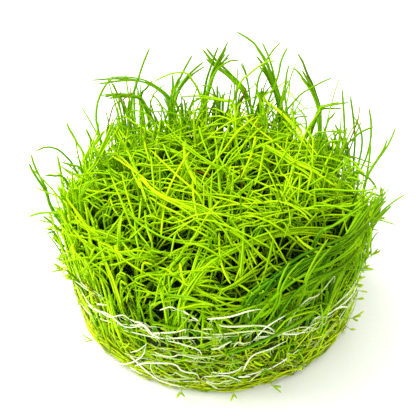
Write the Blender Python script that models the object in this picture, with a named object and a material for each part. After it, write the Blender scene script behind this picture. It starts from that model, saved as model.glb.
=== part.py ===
"""A puck of in vitro hairgrass: a round root mat, tufts of blades, white runners and young plantlets.

The puck keeps the form of the cup that it grew in, a little wider at the rim than at the base. Places on it
are given as an angle from +X towards +Y, a radius from the middle and a height over the surface it rests on.
"""

import math

import bpy
import bmesh
from mathutils import Vector

MM = 0.001

# Driving dimensions of the puck
BASE_RADIUS = 36.5 * MM
RIM_RADIUS = 40.0 * MM
RIM_HEIGHT = 38.0 * MM
WALL_CURVE = 0.85
MAT_HEIGHT = 13.0 * MM
GAP = 0.3 * MM

# The root mat
MAT_SEGMENTS = 48
MAT_EDGE_INSET = 2.2 * MM
MAT_RIDGE = 0.25 * MM
MAT_RIDGE_SPACING = 4.4 * MM
MAT_LEVELS = [0.0, 0.9, 3.1, 5.3, 7.5, 9.7, 11.9, 13.0]

# The three rings of tufts: how many, how far out, and how high their columns stand
EDGE_COUNT = 16
EDGE_INNER_RADIUS = 27.0 * MM
EDGE_LEVELS = [MAT_HEIGHT + GAP, 19.0 * MM, 25.5 * MM, 32.0 * MM]
MIDDLE_COUNT = 9
MIDDLE_INNER_RADIUS = 14.0 * MM
CENTRE_COUNT = 4
CENTRE_INNER_RADIUS = 1.0 * MM
INNER_LEVELS = [MAT_HEIGHT + GAP, 20.0 * MM, 27.0 * MM]
RING_GAP = 0.42 * MM
RIB = 0.45 * MM
LOWER_SKEW = math.radians(7.0)

# Locks: each is a tapering bundle of blades
LOCK_STEPS = 5
LOCK_ARCH = 2.2 * MM
LOCK_LEAN = 1.5
LOCK_SLIMNESS = 0.36
SLIM_BY = 0.22
EDGE_LOCKS = 3
INNER_LOCKS = 2
MIDDLE_TWIST = math.radians(52.0)
CENTRE_TWIST = math.radians(-50.0)
TWIST_HEIGHT = 14.0 * MM
TOP_RIPPLE = 1.1 * MM
TOP_WAVES = (5.0, 11.0)
FINE_WAVE_SHARE = 0.6

# Tips of the inner locks: radius and height
MIDDLE_TIP = (17.5 * MM, 39.0 * MM)
CENTRE_TIP = (8.0 * MM, 40.0 * MM)

# Tips of the short edge locks: they bend in at the front (first value) and out at the back (second)
SHORT_TIP_RADIUS = (26.0 * MM, 39.0 * MM)
SHORT_TIP_HEIGHT = (39.0 * MM, 46.0 * MM)
TIP_RIPPLE = 1.6 * MM

# The long edge locks, by slot counted from +X: the tip's radius and height in millimetres
LONG_LOCKS = {
    0: (41.0, 36.0),
    1: (44.3, 47.9),
    3: (41.5, 48.6),
    4: (40.7, 48.2),
    5: (42.4, 49.0),
    7: (38.9, 53.6),
    8: (40.0, 54.8),
    11: (42.3, 54.4),
    13: (40.4, 53.6),
    15: (34.5, 57.0),
    18: (34.3, 53.5),
    19: (38.0, 52.8),
    20: (42.2, 42.5),
    22: (47.2, 38.7),
    23: (46.4, 44.5),
    24: (46.8, 33.5),
    25: (43.0, 35.0),
    47: (44.6, 38.7),
}

# Runners: the stations that each passes, as angle in degrees and height in millimetres
RUNNER_RADIUS = 0.42 * MM
RUNNER_CLEARANCE = 1.3 * MM
RUNNER_STEP = 2.6 * MM
RUNNER_ROUTES = [
    [(-157, 9.0), (-147, 13.5), (-137, 18.0), (-127, 21.8), (-117, 23.4), (-107, 25.2)],
    [(-125, 17.6), (-115, 20.2), (-104, 21.4), (-92, 23.6), (-81, 23.8)],
    [(-76, 22.3), (-68, 21.0), (-59, 17.3), (-50, 15.2), (-43, 15.8)],
    [(-110, 16.4), (-101, 17.2), (-92, 18.2), (-84, 19.6), (-77, 18.4)],
    [(-120, 11.6), (-110, 12.6), (-99, 13.7), (-88, 13.2)],
    [(-133, 2.6), (-124, 4.4), (-111, 8.4), (-99, 7.4), (-88, 6.0)],
    [(-80, 7.2), (-75, 11.4), (-67, 13.2), (-58, 11.8)],
    [(-52, 20.4), (-40, 18.0), (-27, 20.6), (-14, 19.0)],
    [(-36, 9.0), (-22, 12.0), (-8, 9.4), (6, 11.4)],
    [(16, 20.0), (30, 17.2), (45, 19.8), (61, 16.6), (76, 18.8)],
    [(88, 12.2), (103, 15.6), (118, 13.0), (134, 17.6), (148, 16.2)],
    [(157, 21.0), (171, 18.2), (185, 14.6), (196, 17.0)],
]

# Plantlets: angle in degrees, height in millimetres, rise in degrees and reach in millimetres
PLANTLETS = [
    (-103, 1.8, 8, 5.5),
    (-84, 1.6, 4, 4.5),
    (-70, 2.6, 12, 5.0),
    (-140, 6.4, 14, 6.0),
    (-166, 14.0, 30, 6.5),
    (-28, 5.4, 18, 5.5),
    (-9, 15.0, 34, 6.0),
    (-174, 24.0, 42, 7.0),
    (22, 11.0, 38, 5.5),
    (82, 8.0, 30, 6.0),
    (126, 7.0, 24, 5.5),
    (176, 7.6, 35, 5.0),
]
PLANTLET_CLEARANCE = 0.85 * MM
PLANTLET_WIDTH = 1.5 * MM
PLANTLET_DEPTH = 0.7 * MM
PLANTLET_STEM = 1.1 * MM
PLANTLET_FAN = math.radians(34.0)
PLANTLET_BLADES = 3
PLANTLET_STEPS = 3
PLANTLET_DROOP = 0.22


def clear_scene():
    for obj in list(bpy.data.objects):
        bpy.data.objects.remove(obj, do_unlink=True)


def plant_material(name, colour, roughness):
    material = bpy.data.materials.new(name)
    material.use_nodes = True
    shader = material.node_tree.nodes["Principled BSDF"]
    shader.inputs["Base Color"].default_value = (*colour, 1.0)
    shader.inputs["Roughness"].default_value = roughness
    shader.inputs["Metallic"].default_value = 0.0
    material.diffuse_color = (*colour, 1.0)
    return material


def mix(low, high, share):
    return low + (high - low) * share


def wall_radius(height):
    """Radius of the side that the cup's wall gave the puck."""
    return BASE_RADIUS + (RIM_RADIUS - BASE_RADIUS) * (max(height, 0.0) / RIM_HEIGHT) ** WALL_CURVE


def place(angle, radius, height, aside=0.0):
    """A point at this angle, radius and height, moved aside along the tangent."""
    cosine = math.cos(angle)
    sine = math.sin(angle)
    return Vector((radius * cosine - aside * sine, radius * sine + aside * cosine, height))


def add_object(name, mesh, material):
    mesh.materials.append(material)
    obj = bpy.data.objects.new(name, mesh)
    bpy.context.scene.collection.objects.link(obj)
    return obj


def finish_mesh(bm, name):
    bmesh.ops.recalc_face_normals(bm, faces=bm.faces)
    mesh = bpy.data.meshes.new(name)
    bm.to_mesh(mesh)
    bm.free()
    return mesh


def bridge_rings(bm, lower, upper):
    for i in range(len(lower)):
        following = (i + 1) % len(lower)
        bm.faces.new((lower[i], lower[following], upper[following], upper[i]))


def build_root_mat(material):
    """The packed base: flat below and on top, with strands that ridge its side."""
    bm = bmesh.new()
    rings = []
    for level in MAT_LEVELS:
        height = level * MM
        edge = max(0.0, 1.0 - height / (2.0 * MM))
        ring = []
        for i in range(MAT_SEGMENTS):
            angle = math.tau * i / MAT_SEGMENTS
            strands = math.sin(math.tau * height / MAT_RIDGE_SPACING + 2.0 * math.sin(3.0 * angle))
            lumps = math.sin(7.0 * angle + 190.0 * height)
            radius = wall_radius(height) - MAT_EDGE_INSET * edge ** 2
            ring.append(bm.verts.new(place(angle, radius + MAT_RIDGE * (strands + lumps), height)))
        rings.append(ring)
    for lower, upper in zip(rings, rings[1:]):
        bridge_rings(bm, lower, upper)
    bm.faces.new(reversed(rings[0]))
    bm.faces.new(rings[-1])
    add_object("root_mat", finish_mesh(bm, "root_mat"), material)


def cell_of(row, cell, count):
    """The five corners of one lock's foot in an outline row: three in front and two behind."""
    front = 2 * cell
    behind = 3 * count - cell
    return [row[front], row[front + 1], row[front + 2], row[behind], row[behind + 1]]


def build_clump(name, rows, locks, material):
    """A closed column through outline rows, whose top splits into locks that stand side by side.

    For n locks, a row holds 2n + 1 points along its front and then n + 1 points back along its rear.
    Each lock is a list of rings of five points, and a tip.
    """
    bm = bmesh.new()
    layers = [[bm.verts.new(point) for point in row] for row in rows]
    for lower, upper in zip(layers, layers[1:]):
        bridge_rings(bm, lower, upper)
    for cell, (rings, tip) in enumerate(locks):
        bm.faces.new(reversed(cell_of(layers[0], cell, len(locks))))
        ring = cell_of(layers[-1], cell, len(locks))
        for points in rings:
            upper = [bm.verts.new(point) for point in points]
            bridge_rings(bm, ring, upper)
            ring = upper
        top = bm.verts.new(tip)
        for i in range(len(ring)):
            bm.faces.new((ring[i], ring[(i + 1) % len(ring)], top))
    return add_object(name, finish_mesh(bm, name), material)


def lock_width(share):
    """Width of a lock along its length, as a share of its foot: it slims at once, then tapers to the tip."""
    slim = 1.0 - LOCK_SLIMNESS * min(share / SLIM_BY, 1.0)
    return slim * (1.0 - share) ** 0.8


class Ring:
    """One ring of tufts between two radii. A tuft is a column that splits into locks at its top."""

    def __init__(self, name, count, locks, levels, wobble, inner, outer, rib, ripple, turn, tip):
        self.name = name
        self.count = count
        self.locks = locks
        self.levels = levels
        self.wobble = wobble
        self.inner = inner
        self.outer = outer
        self.rib = rib
        self.ripple = ripple
        self.turn = turn
        self.tip = tip

    def bound(self, number):
        """Angle of the bound before this tuft."""
        shift = self.wobble * math.sin(2.3 * (number % self.count) + 1.0)
        return math.tau * number / self.count + shift

    def lift(self, level, angle):
        """Height of a level at this angle: the topmost one undulates."""
        if level < self.levels[-1]:
            return level
        coarse, fine = (math.sin(waves * angle + phase) for phase, waves in enumerate(TOP_WAVES))
        return level + self.ripple * (coarse + FINE_WAVE_SHARE * fine)

    def outline_point(self, number, step, steps, level, is_front):
        """A point of the outline as angle, radius, height and shift aside: both ends keep half the gap."""
        angle = mix(self.bound(number), self.bound(number + 1), step / steps)
        height = self.lift(level, angle)
        aside = 0.0
        if step in (0, steps):
            aside = GAP / 2 if step == 0 else -GAP / 2
        if not is_front:
            return angle, self.inner, height, aside
        return angle, self.outer(height) + self.rib * (1 if step % 2 else -1), height, aside

    def row(self, number, level):
        """The outline of a column at this level: along its front, and then back along its rear."""
        steps = 2 * self.locks
        front = [self.outline_point(number, step, steps, level, True) for step in range(steps + 1)]
        rear = [self.outline_point(number, step, self.locks, level, False) for step in range(self.locks + 1)]
        return front + rear[::-1]

    def point(self, angle, radius, height, aside):
        return place(angle + self.turn(height), radius, height, aside)

    def lock(self, slot, foot):
        """Rings and tip of one lock, which grows from its foot towards its tip."""
        middle_angle, middle_radius, top, _ = (sum(values) / len(foot) for values in zip(*foot))
        tip_radius, tip_height = self.tip(slot, middle_angle)

        def path(share):
            """Middle of the lock at this share of its length, as radius and height."""
            height = mix(top, tip_height, share) + LOCK_ARCH * 4.0 * share * (1.0 - share)
            return Vector((mix(middle_radius, tip_radius, share ** LOCK_LEAN), height))

        rings = []
        for step in range(1, LOCK_STEPS + 2):
            share = step / (LOCK_STEPS + 1)
            along = (path(share) - path(share - 1 / (LOCK_STEPS + 1))).normalized()
            across = Vector((along.y, -along.x))
            width = lock_width(share)
            ring = []
            for angle, out, _, aside in foot:
                radius, height = path(share) + across * (out - middle_radius) * width
                ring.append(self.point(mix(middle_angle, angle, width), radius, height, aside * width))
            rings.append(ring)
        return rings[:-1], rings[-1][0]

    def build(self, material):
        for number in range(self.count):
            rows = [self.row(number, level) for level in self.levels]
            feet = [cell_of(rows[-1], cell, self.locks) for cell in range(self.locks)]
            locks = [self.lock(number * self.locks + cell, foot) for cell, foot in enumerate(feet)]
            points = [[self.point(*corner) for corner in row] for row in rows]
            build_clump(f"{self.name}_tuft_{number + 1:02d}", points, locks, material)


def skew_of_rim(height):
    """The pressed blades slant: the rim's lower levels are turned back."""
    return -LOWER_SKEW * max(0.0, 1.0 - height / EDGE_LEVELS[-1])


def twist_of(angle):
    """The swirl of an inner ring: its locks turn by this angle over the height of the twist."""
    return lambda height: angle * max(0.0, height - INNER_LEVELS[-1]) / TWIST_HEIGHT


def rim_tip(slot, angle):
    """Radius and height of a rim lock's tip."""
    if slot in LONG_LOCKS:
        return tuple(value * MM for value in LONG_LOCKS[slot])
    back = 0.5 + 0.5 * math.sin(angle)
    radius = mix(*SHORT_TIP_RADIUS, back) + TIP_RIPPLE * math.sin(2.9 * slot)
    height = mix(*SHORT_TIP_HEIGHT, back) + TIP_RIPPLE * math.sin(4.1 * slot + 1.0)
    return radius, height


def inner_tip(radius, height):
    """Tips of an inner ring lie round this radius and height."""
    return lambda slot, _: (
        radius + TIP_RIPPLE * math.sin(2.1 * slot),
        height + TIP_RIPPLE * math.sin(3.7 * slot),
    )


def smooth_route(stations):
    """Points on a smooth curve through a runner's stations, as angle and height."""
    ends = [stations[0]] + stations + [stations[-1]]
    route = []
    for before, start, end, after in zip(ends, ends[1:], ends[2:], ends[3:]):
        level = math.radians(end[0] - start[0]) * wall_radius(start[1] * MM)
        climb = (end[1] - start[1]) * MM
        steps = max(2, round(math.hypot(level, climb) / RUNNER_STEP))
        for step in range(steps):
            share = step / steps
            route.append(tuple(
                start[i]
                + 0.5 * share * ((end[i] - before[i])
                                 + share * ((2 * before[i] - 5 * start[i] + 4 * end[i] - after[i])
                                            + share * (3 * (start[i] - end[i]) + after[i] - before[i])))
                for i in (0, 1)
            ))
    route.append(stations[-1])
    return route


def build_runner(number, stations, material):
    """A white stolon: a thin tube that follows the wall, thinner at both ends."""
    name = f"runner_{number:02d}"
    route = smooth_route(stations)
    curve = bpy.data.curves.new(name, "CURVE")
    curve.dimensions = "3D"
    curve.bevel_depth = RUNNER_RADIUS
    curve.bevel_resolution = 1
    curve.use_fill_caps = True
    spline = curve.splines.new("POLY")
    spline.points.add(len(route) - 1)
    for i, (angle, height) in enumerate(route):
        height *= MM
        point = place(math.radians(angle), wall_radius(height) + RUNNER_CLEARANCE, height)
        spline.points[i].co = (*point, 1.0)
        spline.points[i].radius = 0.6 + 0.4 * math.sin(math.pi * i / (len(route) - 1))
    add_object(name, curve, material)


def build_plantlet(number, angle, height, rise, reach, material):
    """A young sprout: a short stem on the wall that fans into three blades."""
    angle = math.radians(angle)
    rise = math.radians(rise)
    height *= MM
    foot = place(angle, wall_radius(height) + PLANTLET_CLEARANCE, height)
    outward = place(angle, 1.0, 0.0)
    across = place(angle, 0.0, 0.0, 1.0)
    growth = outward * math.cos(rise) + Vector((0, 0, math.sin(rise)))
    upward = growth.cross(across) * -1.0
    half = PLANTLET_DEPTH / 2
    cell_width = PLANTLET_WIDTH / PLANTLET_BLADES

    def outline(distance):
        """Outline across the stem: along its lower side, and then back along its upper side."""
        centre = foot + growth * distance
        below = [centre + across * (cell_width / 2 * step - PLANTLET_WIDTH / 2) - upward * half
                 for step in range(2 * PLANTLET_BLADES + 1)]
        above = [centre + across * (cell_width * step - PLANTLET_WIDTH / 2) + upward * half
                 for step in range(PLANTLET_BLADES, -1, -1)]
        return below + above

    rows = [outline(0.0), outline(PLANTLET_STEM)]
    locks = []
    for blade in range(PLANTLET_BLADES):
        corners = cell_of(rows[-1], blade, PLANTLET_BLADES)
        centre = sum(corners, Vector()) / len(corners)
        side = blade - (PLANTLET_BLADES - 1) / 2
        heading = growth * math.cos(PLANTLET_FAN * side) + across * math.sin(PLANTLET_FAN * side)
        length = reach * MM * (1.0 - 0.18 * abs(side))
        rings = []
        for step in range(1, PLANTLET_STEPS + 2):
            share = step / (PLANTLET_STEPS + 1)
            droop = Vector((0, 0, -PLANTLET_DROOP * math.sin(rise) * length * share ** 2))
            middle = centre + heading * length * share + droop
            width = (1.0 - share) ** 0.7
            rings.append([middle + (corner - centre) * width for corner in corners])
        locks.append((rings[:-1], rings[-1][0]))
    build_clump(f"plantlet_{number:02d}", rows, locks, material)


def main():
    clear_scene()
    root_material = plant_material("packed_roots", (0.22, 0.26, 0.05), 0.75)
    rim_material = plant_material("pressed_blades", (0.20, 0.38, 0.03), 0.45)
    middle_material = plant_material("middle_blades", (0.24, 0.48, 0.02), 0.40)
    centre_material = plant_material("centre_blades", (0.28, 0.52, 0.03), 0.40)
    runner_material = plant_material("white_runners", (0.80, 0.84, 0.52), 0.50)
    plantlet_material = plant_material("young_sprouts", (0.36, 0.56, 0.08), 0.45)

    build_root_mat(root_material)
    rim = Ring("edge", EDGE_COUNT, EDGE_LOCKS, EDGE_LEVELS, math.radians(2.6),
               EDGE_INNER_RADIUS, wall_radius, RIB, TOP_RIPPLE, skew_of_rim, rim_tip)
    middle = Ring("middle", MIDDLE_COUNT, INNER_LOCKS, INNER_LEVELS, math.radians(4.0),
                  MIDDLE_INNER_RADIUS, lambda height: EDGE_INNER_RADIUS - RING_GAP, 0.0, TOP_RIPPLE / 2,
                  twist_of(MIDDLE_TWIST), inner_tip(*MIDDLE_TIP))
    centre = Ring("centre", CENTRE_COUNT, INNER_LOCKS, INNER_LEVELS, math.radians(6.0),
                  CENTRE_INNER_RADIUS, lambda height: MIDDLE_INNER_RADIUS - RING_GAP, 0.0, 0.0,
                  twist_of(CENTRE_TWIST), inner_tip(*CENTRE_TIP))
    rim.build(rim_material)
    middle.build(middle_material)
    centre.build(centre_material)
    for number, stations in enumerate(RUNNER_ROUTES, 1):
        build_runner(number, stations, runner_material)
    for number, sprout in enumerate(PLANTLETS, 1):
        build_plantlet(number, *sprout, plantlet_material)


main()
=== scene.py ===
import math
import bpy
import numpy as np
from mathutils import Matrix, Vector, noise


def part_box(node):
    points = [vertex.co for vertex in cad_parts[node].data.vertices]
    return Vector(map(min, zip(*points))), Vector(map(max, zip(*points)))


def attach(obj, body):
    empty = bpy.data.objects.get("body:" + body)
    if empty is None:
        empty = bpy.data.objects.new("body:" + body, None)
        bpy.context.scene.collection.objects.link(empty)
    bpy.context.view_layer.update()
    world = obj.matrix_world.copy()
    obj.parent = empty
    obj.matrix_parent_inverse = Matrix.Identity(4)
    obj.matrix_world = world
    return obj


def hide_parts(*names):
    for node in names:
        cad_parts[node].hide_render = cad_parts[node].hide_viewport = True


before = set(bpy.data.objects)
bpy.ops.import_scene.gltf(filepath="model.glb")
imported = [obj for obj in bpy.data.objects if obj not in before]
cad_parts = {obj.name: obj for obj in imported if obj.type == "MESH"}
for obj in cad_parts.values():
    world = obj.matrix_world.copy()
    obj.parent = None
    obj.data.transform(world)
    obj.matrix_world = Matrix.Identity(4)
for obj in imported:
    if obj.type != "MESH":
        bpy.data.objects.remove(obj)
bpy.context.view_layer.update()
print("frame: loaded")

mm = 0.001  # lengths below are in millimetres unless a note says otherwise

# The puck's form, as in the CAD: a round cake that flares from its base to its rim
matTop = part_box("root_mat")[1][2] / mm
puck = {
    "baseRadius": 36.5,
    "rimRadius": 40.0,
    "rimHeight": matTop + 25.0,
    "wallCurve": 0.85,
}


def wallRadius(height):
    share = np.clip(height, 0.0, None) / puck["rimHeight"]
    return puck["baseRadius"] + (puck["rimRadius"] - puck["baseRadius"]) * share ** puck["wallCurve"]


def unit(vectors):
    return vectors / np.maximum(np.linalg.norm(vectors, axis=-1, keepdims=True), 1e-9)


def smoothStep(low, high, value):
    share = np.clip((value - low) / (high - low), 0.0, 1.0)
    return share * share * (3.0 - 2.0 * share)


def around(angle, radius, height):
    # a place on the puck from its angle in radians, radius and height
    return np.stack(np.broadcast_arrays(radius * np.cos(angle), radius * np.sin(angle), height), axis=-1)


# Camera: where the photograph was taken from
cameraPlace = {
    "elevation": 42.0,  # degrees over the floor
    "distance": 270.0,
    "lens": 92.0,
    "sensor": 36.0,
    "target": (-2.2, 0.0, 28.4),
    "imageSide": 416,  # pixels
}
cameraTilt = math.radians(cameraPlace["elevation"])
cameraBack = np.array([0.0, -math.cos(cameraTilt), math.sin(cameraTilt)])
cameraRight = np.array([1.0, 0.0, 0.0])
cameraUp = np.cross(cameraBack, cameraRight)
cameraSpot = np.array(cameraPlace["target"]) + cameraBack * cameraPlace["distance"]

camera = bpy.data.objects.new("camera", bpy.data.cameras.new("camera"))
camera.data.lens = cameraPlace["lens"]
camera.data.sensor_width = cameraPlace["sensor"]
camera.data.clip_start = 0.01  # metres
camera.location = cameraSpot * mm
camera.rotation_euler = (math.pi / 2 - cameraTilt, 0.0, 0.0)
bpy.context.scene.collection.objects.link(camera)
bpy.context.scene.camera = camera
print("camera: placed")


def sightLine(pixel):
    # direction from the camera through a pixel of the photograph
    half = cameraPlace["imageSide"] / 2
    focal = cameraPlace["lens"] / cameraPlace["sensor"] * cameraPlace["imageSide"]
    across = (pixel[0] - half) / focal
    down = (pixel[1] - half) / focal
    return cameraRight * across - cameraUp * down - cameraBack


def atDepth(pixel, depth):
    # where a pixel's sight line meets the upright plane at this y
    sight = sightLine(pixel)
    return cameraSpot + sight * (depth - cameraSpot[1]) / sight[1]


def atHeight(pixel, height):
    # where it meets the level plane at this z
    sight = sightLine(pixel)
    return cameraSpot + sight * (height - cameraSpot[2]) / sight[2]


sightReach = np.linspace(200.0, 320.0, 1201)


def onWall(pixel, lift, top=60.0):
    # where it first meets the puck's side, lifted off it by this much, or the level plane at its top
    spots = cameraSpot + unit(sightLine(pixel)) * sightReach[:, None]
    clear = np.hypot(spots[:, 0], spots[:, 1]) - wallRadius(spots[:, 2]) - lift
    clear = np.maximum(clear, spots[:, 2] - top)
    inside = clear < 0
    spot = spots[np.argmax(inside) if inside.any() else np.argmin(clear)]
    return np.array([spot[0], spot[1], max(spot[2], 0.5)])


# Materials
def linear(hexColour):
    # an sRGB hex colour as linear red, green, blue and full alpha
    parts = [int(hexColour[i:i + 2], 16) / 255 for i in (1, 3, 5)]
    return [part / 12.92 if part <= 0.04045 else ((part + 0.055) / 1.055) ** 2.4 for part in parts] + [1.0]


def addNode(tree, kind, settings=None, links=None):
    # settings are the node's own properties or its sockets' values, links are socket: output
    node = tree.nodes.new(kind)
    for name, value in (settings or {}).items():
        if isinstance(name, str) and hasattr(node, name):
            setattr(node, name, value)
        else:
            node.inputs[name].default_value = value
    for name, output in (links or {}).items():
        tree.links.new(output, node.inputs[name])
    return node


def setRamp(node, stops):
    # stops are (place, hex colour) from first to last
    elements = node.color_ramp.elements
    while len(elements) < len(stops):
        elements.new(0.5)
    for element, (place, colour) in zip(elements, stops):
        element.position = place
        element.color = linear(colour)
    return node


def newMaterial(name, look):
    material = bpy.data.materials.new(name)
    material.use_nodes = True
    shader = material.node_tree.nodes["Principled BSDF"]
    shader.inputs["IOR"].default_value = look["ior"]
    shader.inputs["Specular IOR Level"].default_value = look["shine"]
    shader.inputs["Metallic"].default_value = 0.0
    return material, material.node_tree, shader


def strandMaterial(name, look):
    # plant tissue: "strand" holds each place's share of the way to the tip, its tone and its age, and the second
    # attribute holds painted shade: how deep the place sits in the crowd, and the shaded patches of the side
    material, tree, shader = newMaterial(name, look)
    strand = addNode(tree, "ShaderNodeAttribute", {"attribute_name": "strand"})
    parts = addNode(tree, "ShaderNodeSeparateColor", links={"Color": strand.outputs["Color"]})
    painted_shade = addNode(tree, "ShaderNodeAttribute", {"attribute_name": "painted_shade"})
    place = addNode(tree, "ShaderNodeTexCoord")
    mottle = addNode(tree, "ShaderNodeTexNoise", {"Scale": 1.0 / (look["mottleSize"] * mm), "Detail": 3.0},
                     {"Vector": place.outputs["Object"]})
    tone = addNode(tree, "ShaderNodeMath", {"operation": "MULTIPLY_ADD", "use_clamp": True, 1: look["mottle"]},
                   {0: mottle.outputs["Fac"], 2: parts.outputs["Green"]})
    body = setRamp(addNode(tree, "ShaderNodeValToRGB", links={"Fac": tone.outputs[0]}), look["tones"])
    rootShare = addNode(tree, "ShaderNodeMapRange", {"From Min": 0.0, "From Max": look["rootEnd"], "To Min": 1.0,
                                                     "To Max": 0.0}, {"Value": parts.outputs["Red"]})
    tipShare = addNode(tree, "ShaderNodeMapRange", {"From Min": look["tipStart"], "From Max": 1.0, "To Min": 0.0,
                                                    "To Max": look["tipShare"]}, {"Value": parts.outputs["Red"]})
    depth = addNode(tree, "ShaderNodeMath", {"operation": "MULTIPLY", 1: look["paintedShadeShare"]},
                    {0: painted_shade.outputs["Fac"]})
    colour = body.outputs["Color"]
    # painted shade: the last layer darkens the colour toward the "deep" green by how deep the place sits in the crowd
    for amount, layer in [(rootShare.outputs[0], "root"), (tipShare.outputs[0], "tip"),
                          (parts.outputs["Blue"], "old"), (depth.outputs[0], "deep")]:
        mixed = addNode(tree, "ShaderNodeMix", {"data_type": "RGBA", 7: linear(look[layer])},
                        {"Factor": amount, 6: colour})
        colour = mixed.outputs[2]
    tree.links.new(colour, shader.inputs["Base Color"])
    gloss = addNode(tree, "ShaderNodeMapRange", {"To Min": look["roughness"][0], "To Max": look["roughness"][1]},
                    {"Value": mottle.outputs["Fac"]})
    tree.links.new(gloss.outputs[0], shader.inputs["Roughness"])
    veins = addNode(tree, "ShaderNodeTexNoise", {"Scale": 1.0 / (look["veinSize"] * mm), "Detail": 2.0},
                    {"Vector": place.outputs["Object"]})
    bump = addNode(tree, "ShaderNodeBump", {"Strength": 0.3, "Distance": look["veinDepth"] * mm},
                   {"Height": veins.outputs["Fac"]})
    tree.links.new(bump.outputs["Normal"], shader.inputs["Normal"])
    return material


# Fresh hairgrass leaf, grown under water: thin, wet and full of light, so the eye sees lime where light falls
# on it, deep green in the shade, and a soft wet glint along it. No light passes through a blade: its bright
# greens are painted light for the glow through it, and its "deep" green is painted shade inside the crowd
leafLook = {
    "tones": [(0.0, "#1C4600"), (0.2, "#4C8800"), (0.45, "#76B200"), (0.75, "#9CD000"), (1.0, "#BAE400")],
    "root": "#9DB52E",
    "rootEnd": 0.14,
    "tip": "#7E9E00",
    "tipStart": 0.5,
    "tipShare": 0.55,
    "old": "#7E4E12",
    # painted shade: the green that places deep in the crowd are darkened toward
    "deep": "#0E3400",
    "paintedShadeShare": 0.92,
    "mottle": 0.12,
    "mottleSize": 3.0,  # mm, cloudy change of green along a blade
    "veinSize": 0.35,  # mm, veins are finer but wouldn't show
    "veinDepth": 0.05,
    "roughness": (0.42, 0.6),
    "ior": 1.42,
    "shine": 0.05,
}
leafMaterial = strandMaterial("fresh_hairgrass_leaf", leafLook)

# Older leaf and stem pressed against the cup: olive to straw, dull, with brown bits
oldLook = dict(leafLook, tones=[(0.0, "#3A6A00"), (0.4, "#6C9C00"), (0.75, "#9ABE00"), (1.0, "#C2D820")],
               root="#93A01E", tip="#9CB410", old="#6B4A1C", mottle=0.25, roughness=(0.5, 0.7))
oldMaterial = strandMaterial("pressed_old_hairgrass_stem", oldLook)

# White stolon: smooth, moist and a little see-through, ivory with green at its joints and growing tip; it takes part of
# the painted shade inside the crowd
runnerLook = dict(leafLook, tones=[(0.0, "#90B022"), (0.35, "#AEC45A"), (0.7, "#CEDC9C"), (1.0, "#E8EED6")],
                  root="#C0D488", rootEnd=0.05, tip="#A6C834", tipStart=0.86, tipShare=0.9, old="#A9C850",
                  mottle=0.2, mottleSize=2.2, roughness=(0.35, 0.5), shine=0.2, paintedShadeShare=0.6)
runnerMaterial = strandMaterial("white_hairgrass_stolon", runnerLook)

# Young sprout: broad, tender and yellow-green, with a little of the painted shade inside the crowd
sproutLook = dict(leafLook, tones=[(0.0, "#7AA600"), (0.5, "#A0C20C"), (1.0, "#C6D836")], root="#DDE9A0",
                  rootEnd=0.3, tip="#90BA00", paintedShadeShare=0.3)
sproutMaterial = strandMaterial("young_hairgrass_sprout", sproutLook)

# Packed roots and thatch: dark, wet and matted, threads of olive over brown, and painted shade on its top under the
# blades
matLook = {"threadSize": 0.9, "clumpSize": 6.0, "ior": 1.4, "shine": 0.15, "roughness": 0.75, "bump": 0.35}


def matMaterial():
    material, tree, shader = newMaterial("packed_hairgrass_roots", matLook)
    place = addNode(tree, "ShaderNodeTexCoord")
    threads = addNode(tree, "ShaderNodeTexNoise", {"Scale": 1.0 / (matLook["threadSize"] * mm), "Detail": 4.0,
                                                   "Distortion": 1.5}, {"Vector": place.outputs["Object"]})
    clumps = addNode(tree, "ShaderNodeTexNoise", {"Scale": 1.0 / (matLook["clumpSize"] * mm), "Detail": 2.0},
                     {"Vector": place.outputs["Object"]})
    height = addNode(tree, "ShaderNodeSeparateXYZ", links={"Vector": place.outputs["Object"]})
    thread = setRamp(addNode(tree, "ShaderNodeValToRGB", links={"Fac": threads.outputs["Fac"]}),
                     [(0.3, "#182800"), (0.48, "#3A5600"), (0.6, "#667C08"), (0.72, "#98A020")])
    brown = addNode(tree, "ShaderNodeMapRange", {"From Min": 0.5, "From Max": 0.75, "To Min": 0.0, "To Max": 0.7},
                    {"Value": clumps.outputs["Fac"]})
    stained = addNode(tree, "ShaderNodeMix", {"data_type": "RGBA", 7: linear("#4A3410")},
                      {"Factor": brown.outputs[0], 6: thread.outputs["Color"]})
    # painted shade: from the top of the roots upward, where the blades cover it, the base is darkened toward near-black
    # green
    thatch = addNode(tree, "ShaderNodeMapRange", {"From Min": matTop * 0.8 * mm, "From Max": matTop * 1.3 * mm,
                                                  "To Min": 0.0, "To Max": 0.9}, {"Value": height.outputs["Z"]})
    shaded = addNode(tree, "ShaderNodeMix", {"data_type": "RGBA", 7: linear("#142600")},
                     {"Factor": thatch.outputs[0], 6: stained.outputs[2]})
    tree.links.new(shaded.outputs[2], shader.inputs["Base Color"])
    bump = addNode(tree, "ShaderNodeBump", {"Strength": 0.8, "Distance": matLook["bump"] * mm},
                   {"Height": threads.outputs["Fac"]})
    tree.links.new(bump.outputs["Normal"], shader.inputs["Normal"])
    shader.inputs["Roughness"].default_value = matLook["roughness"]
    return material


rootsMaterial = matMaterial()
print("materials: made")


# Strands: every blade, root and runner is a thin tapering tube along its own path
def ringShares(count):
    # how far along a strand its rings are: evenly, with the last close to the tip, so that the tip is short
    return np.append(np.linspace(0.0, 0.965, count - 1), 1.0)


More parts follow.
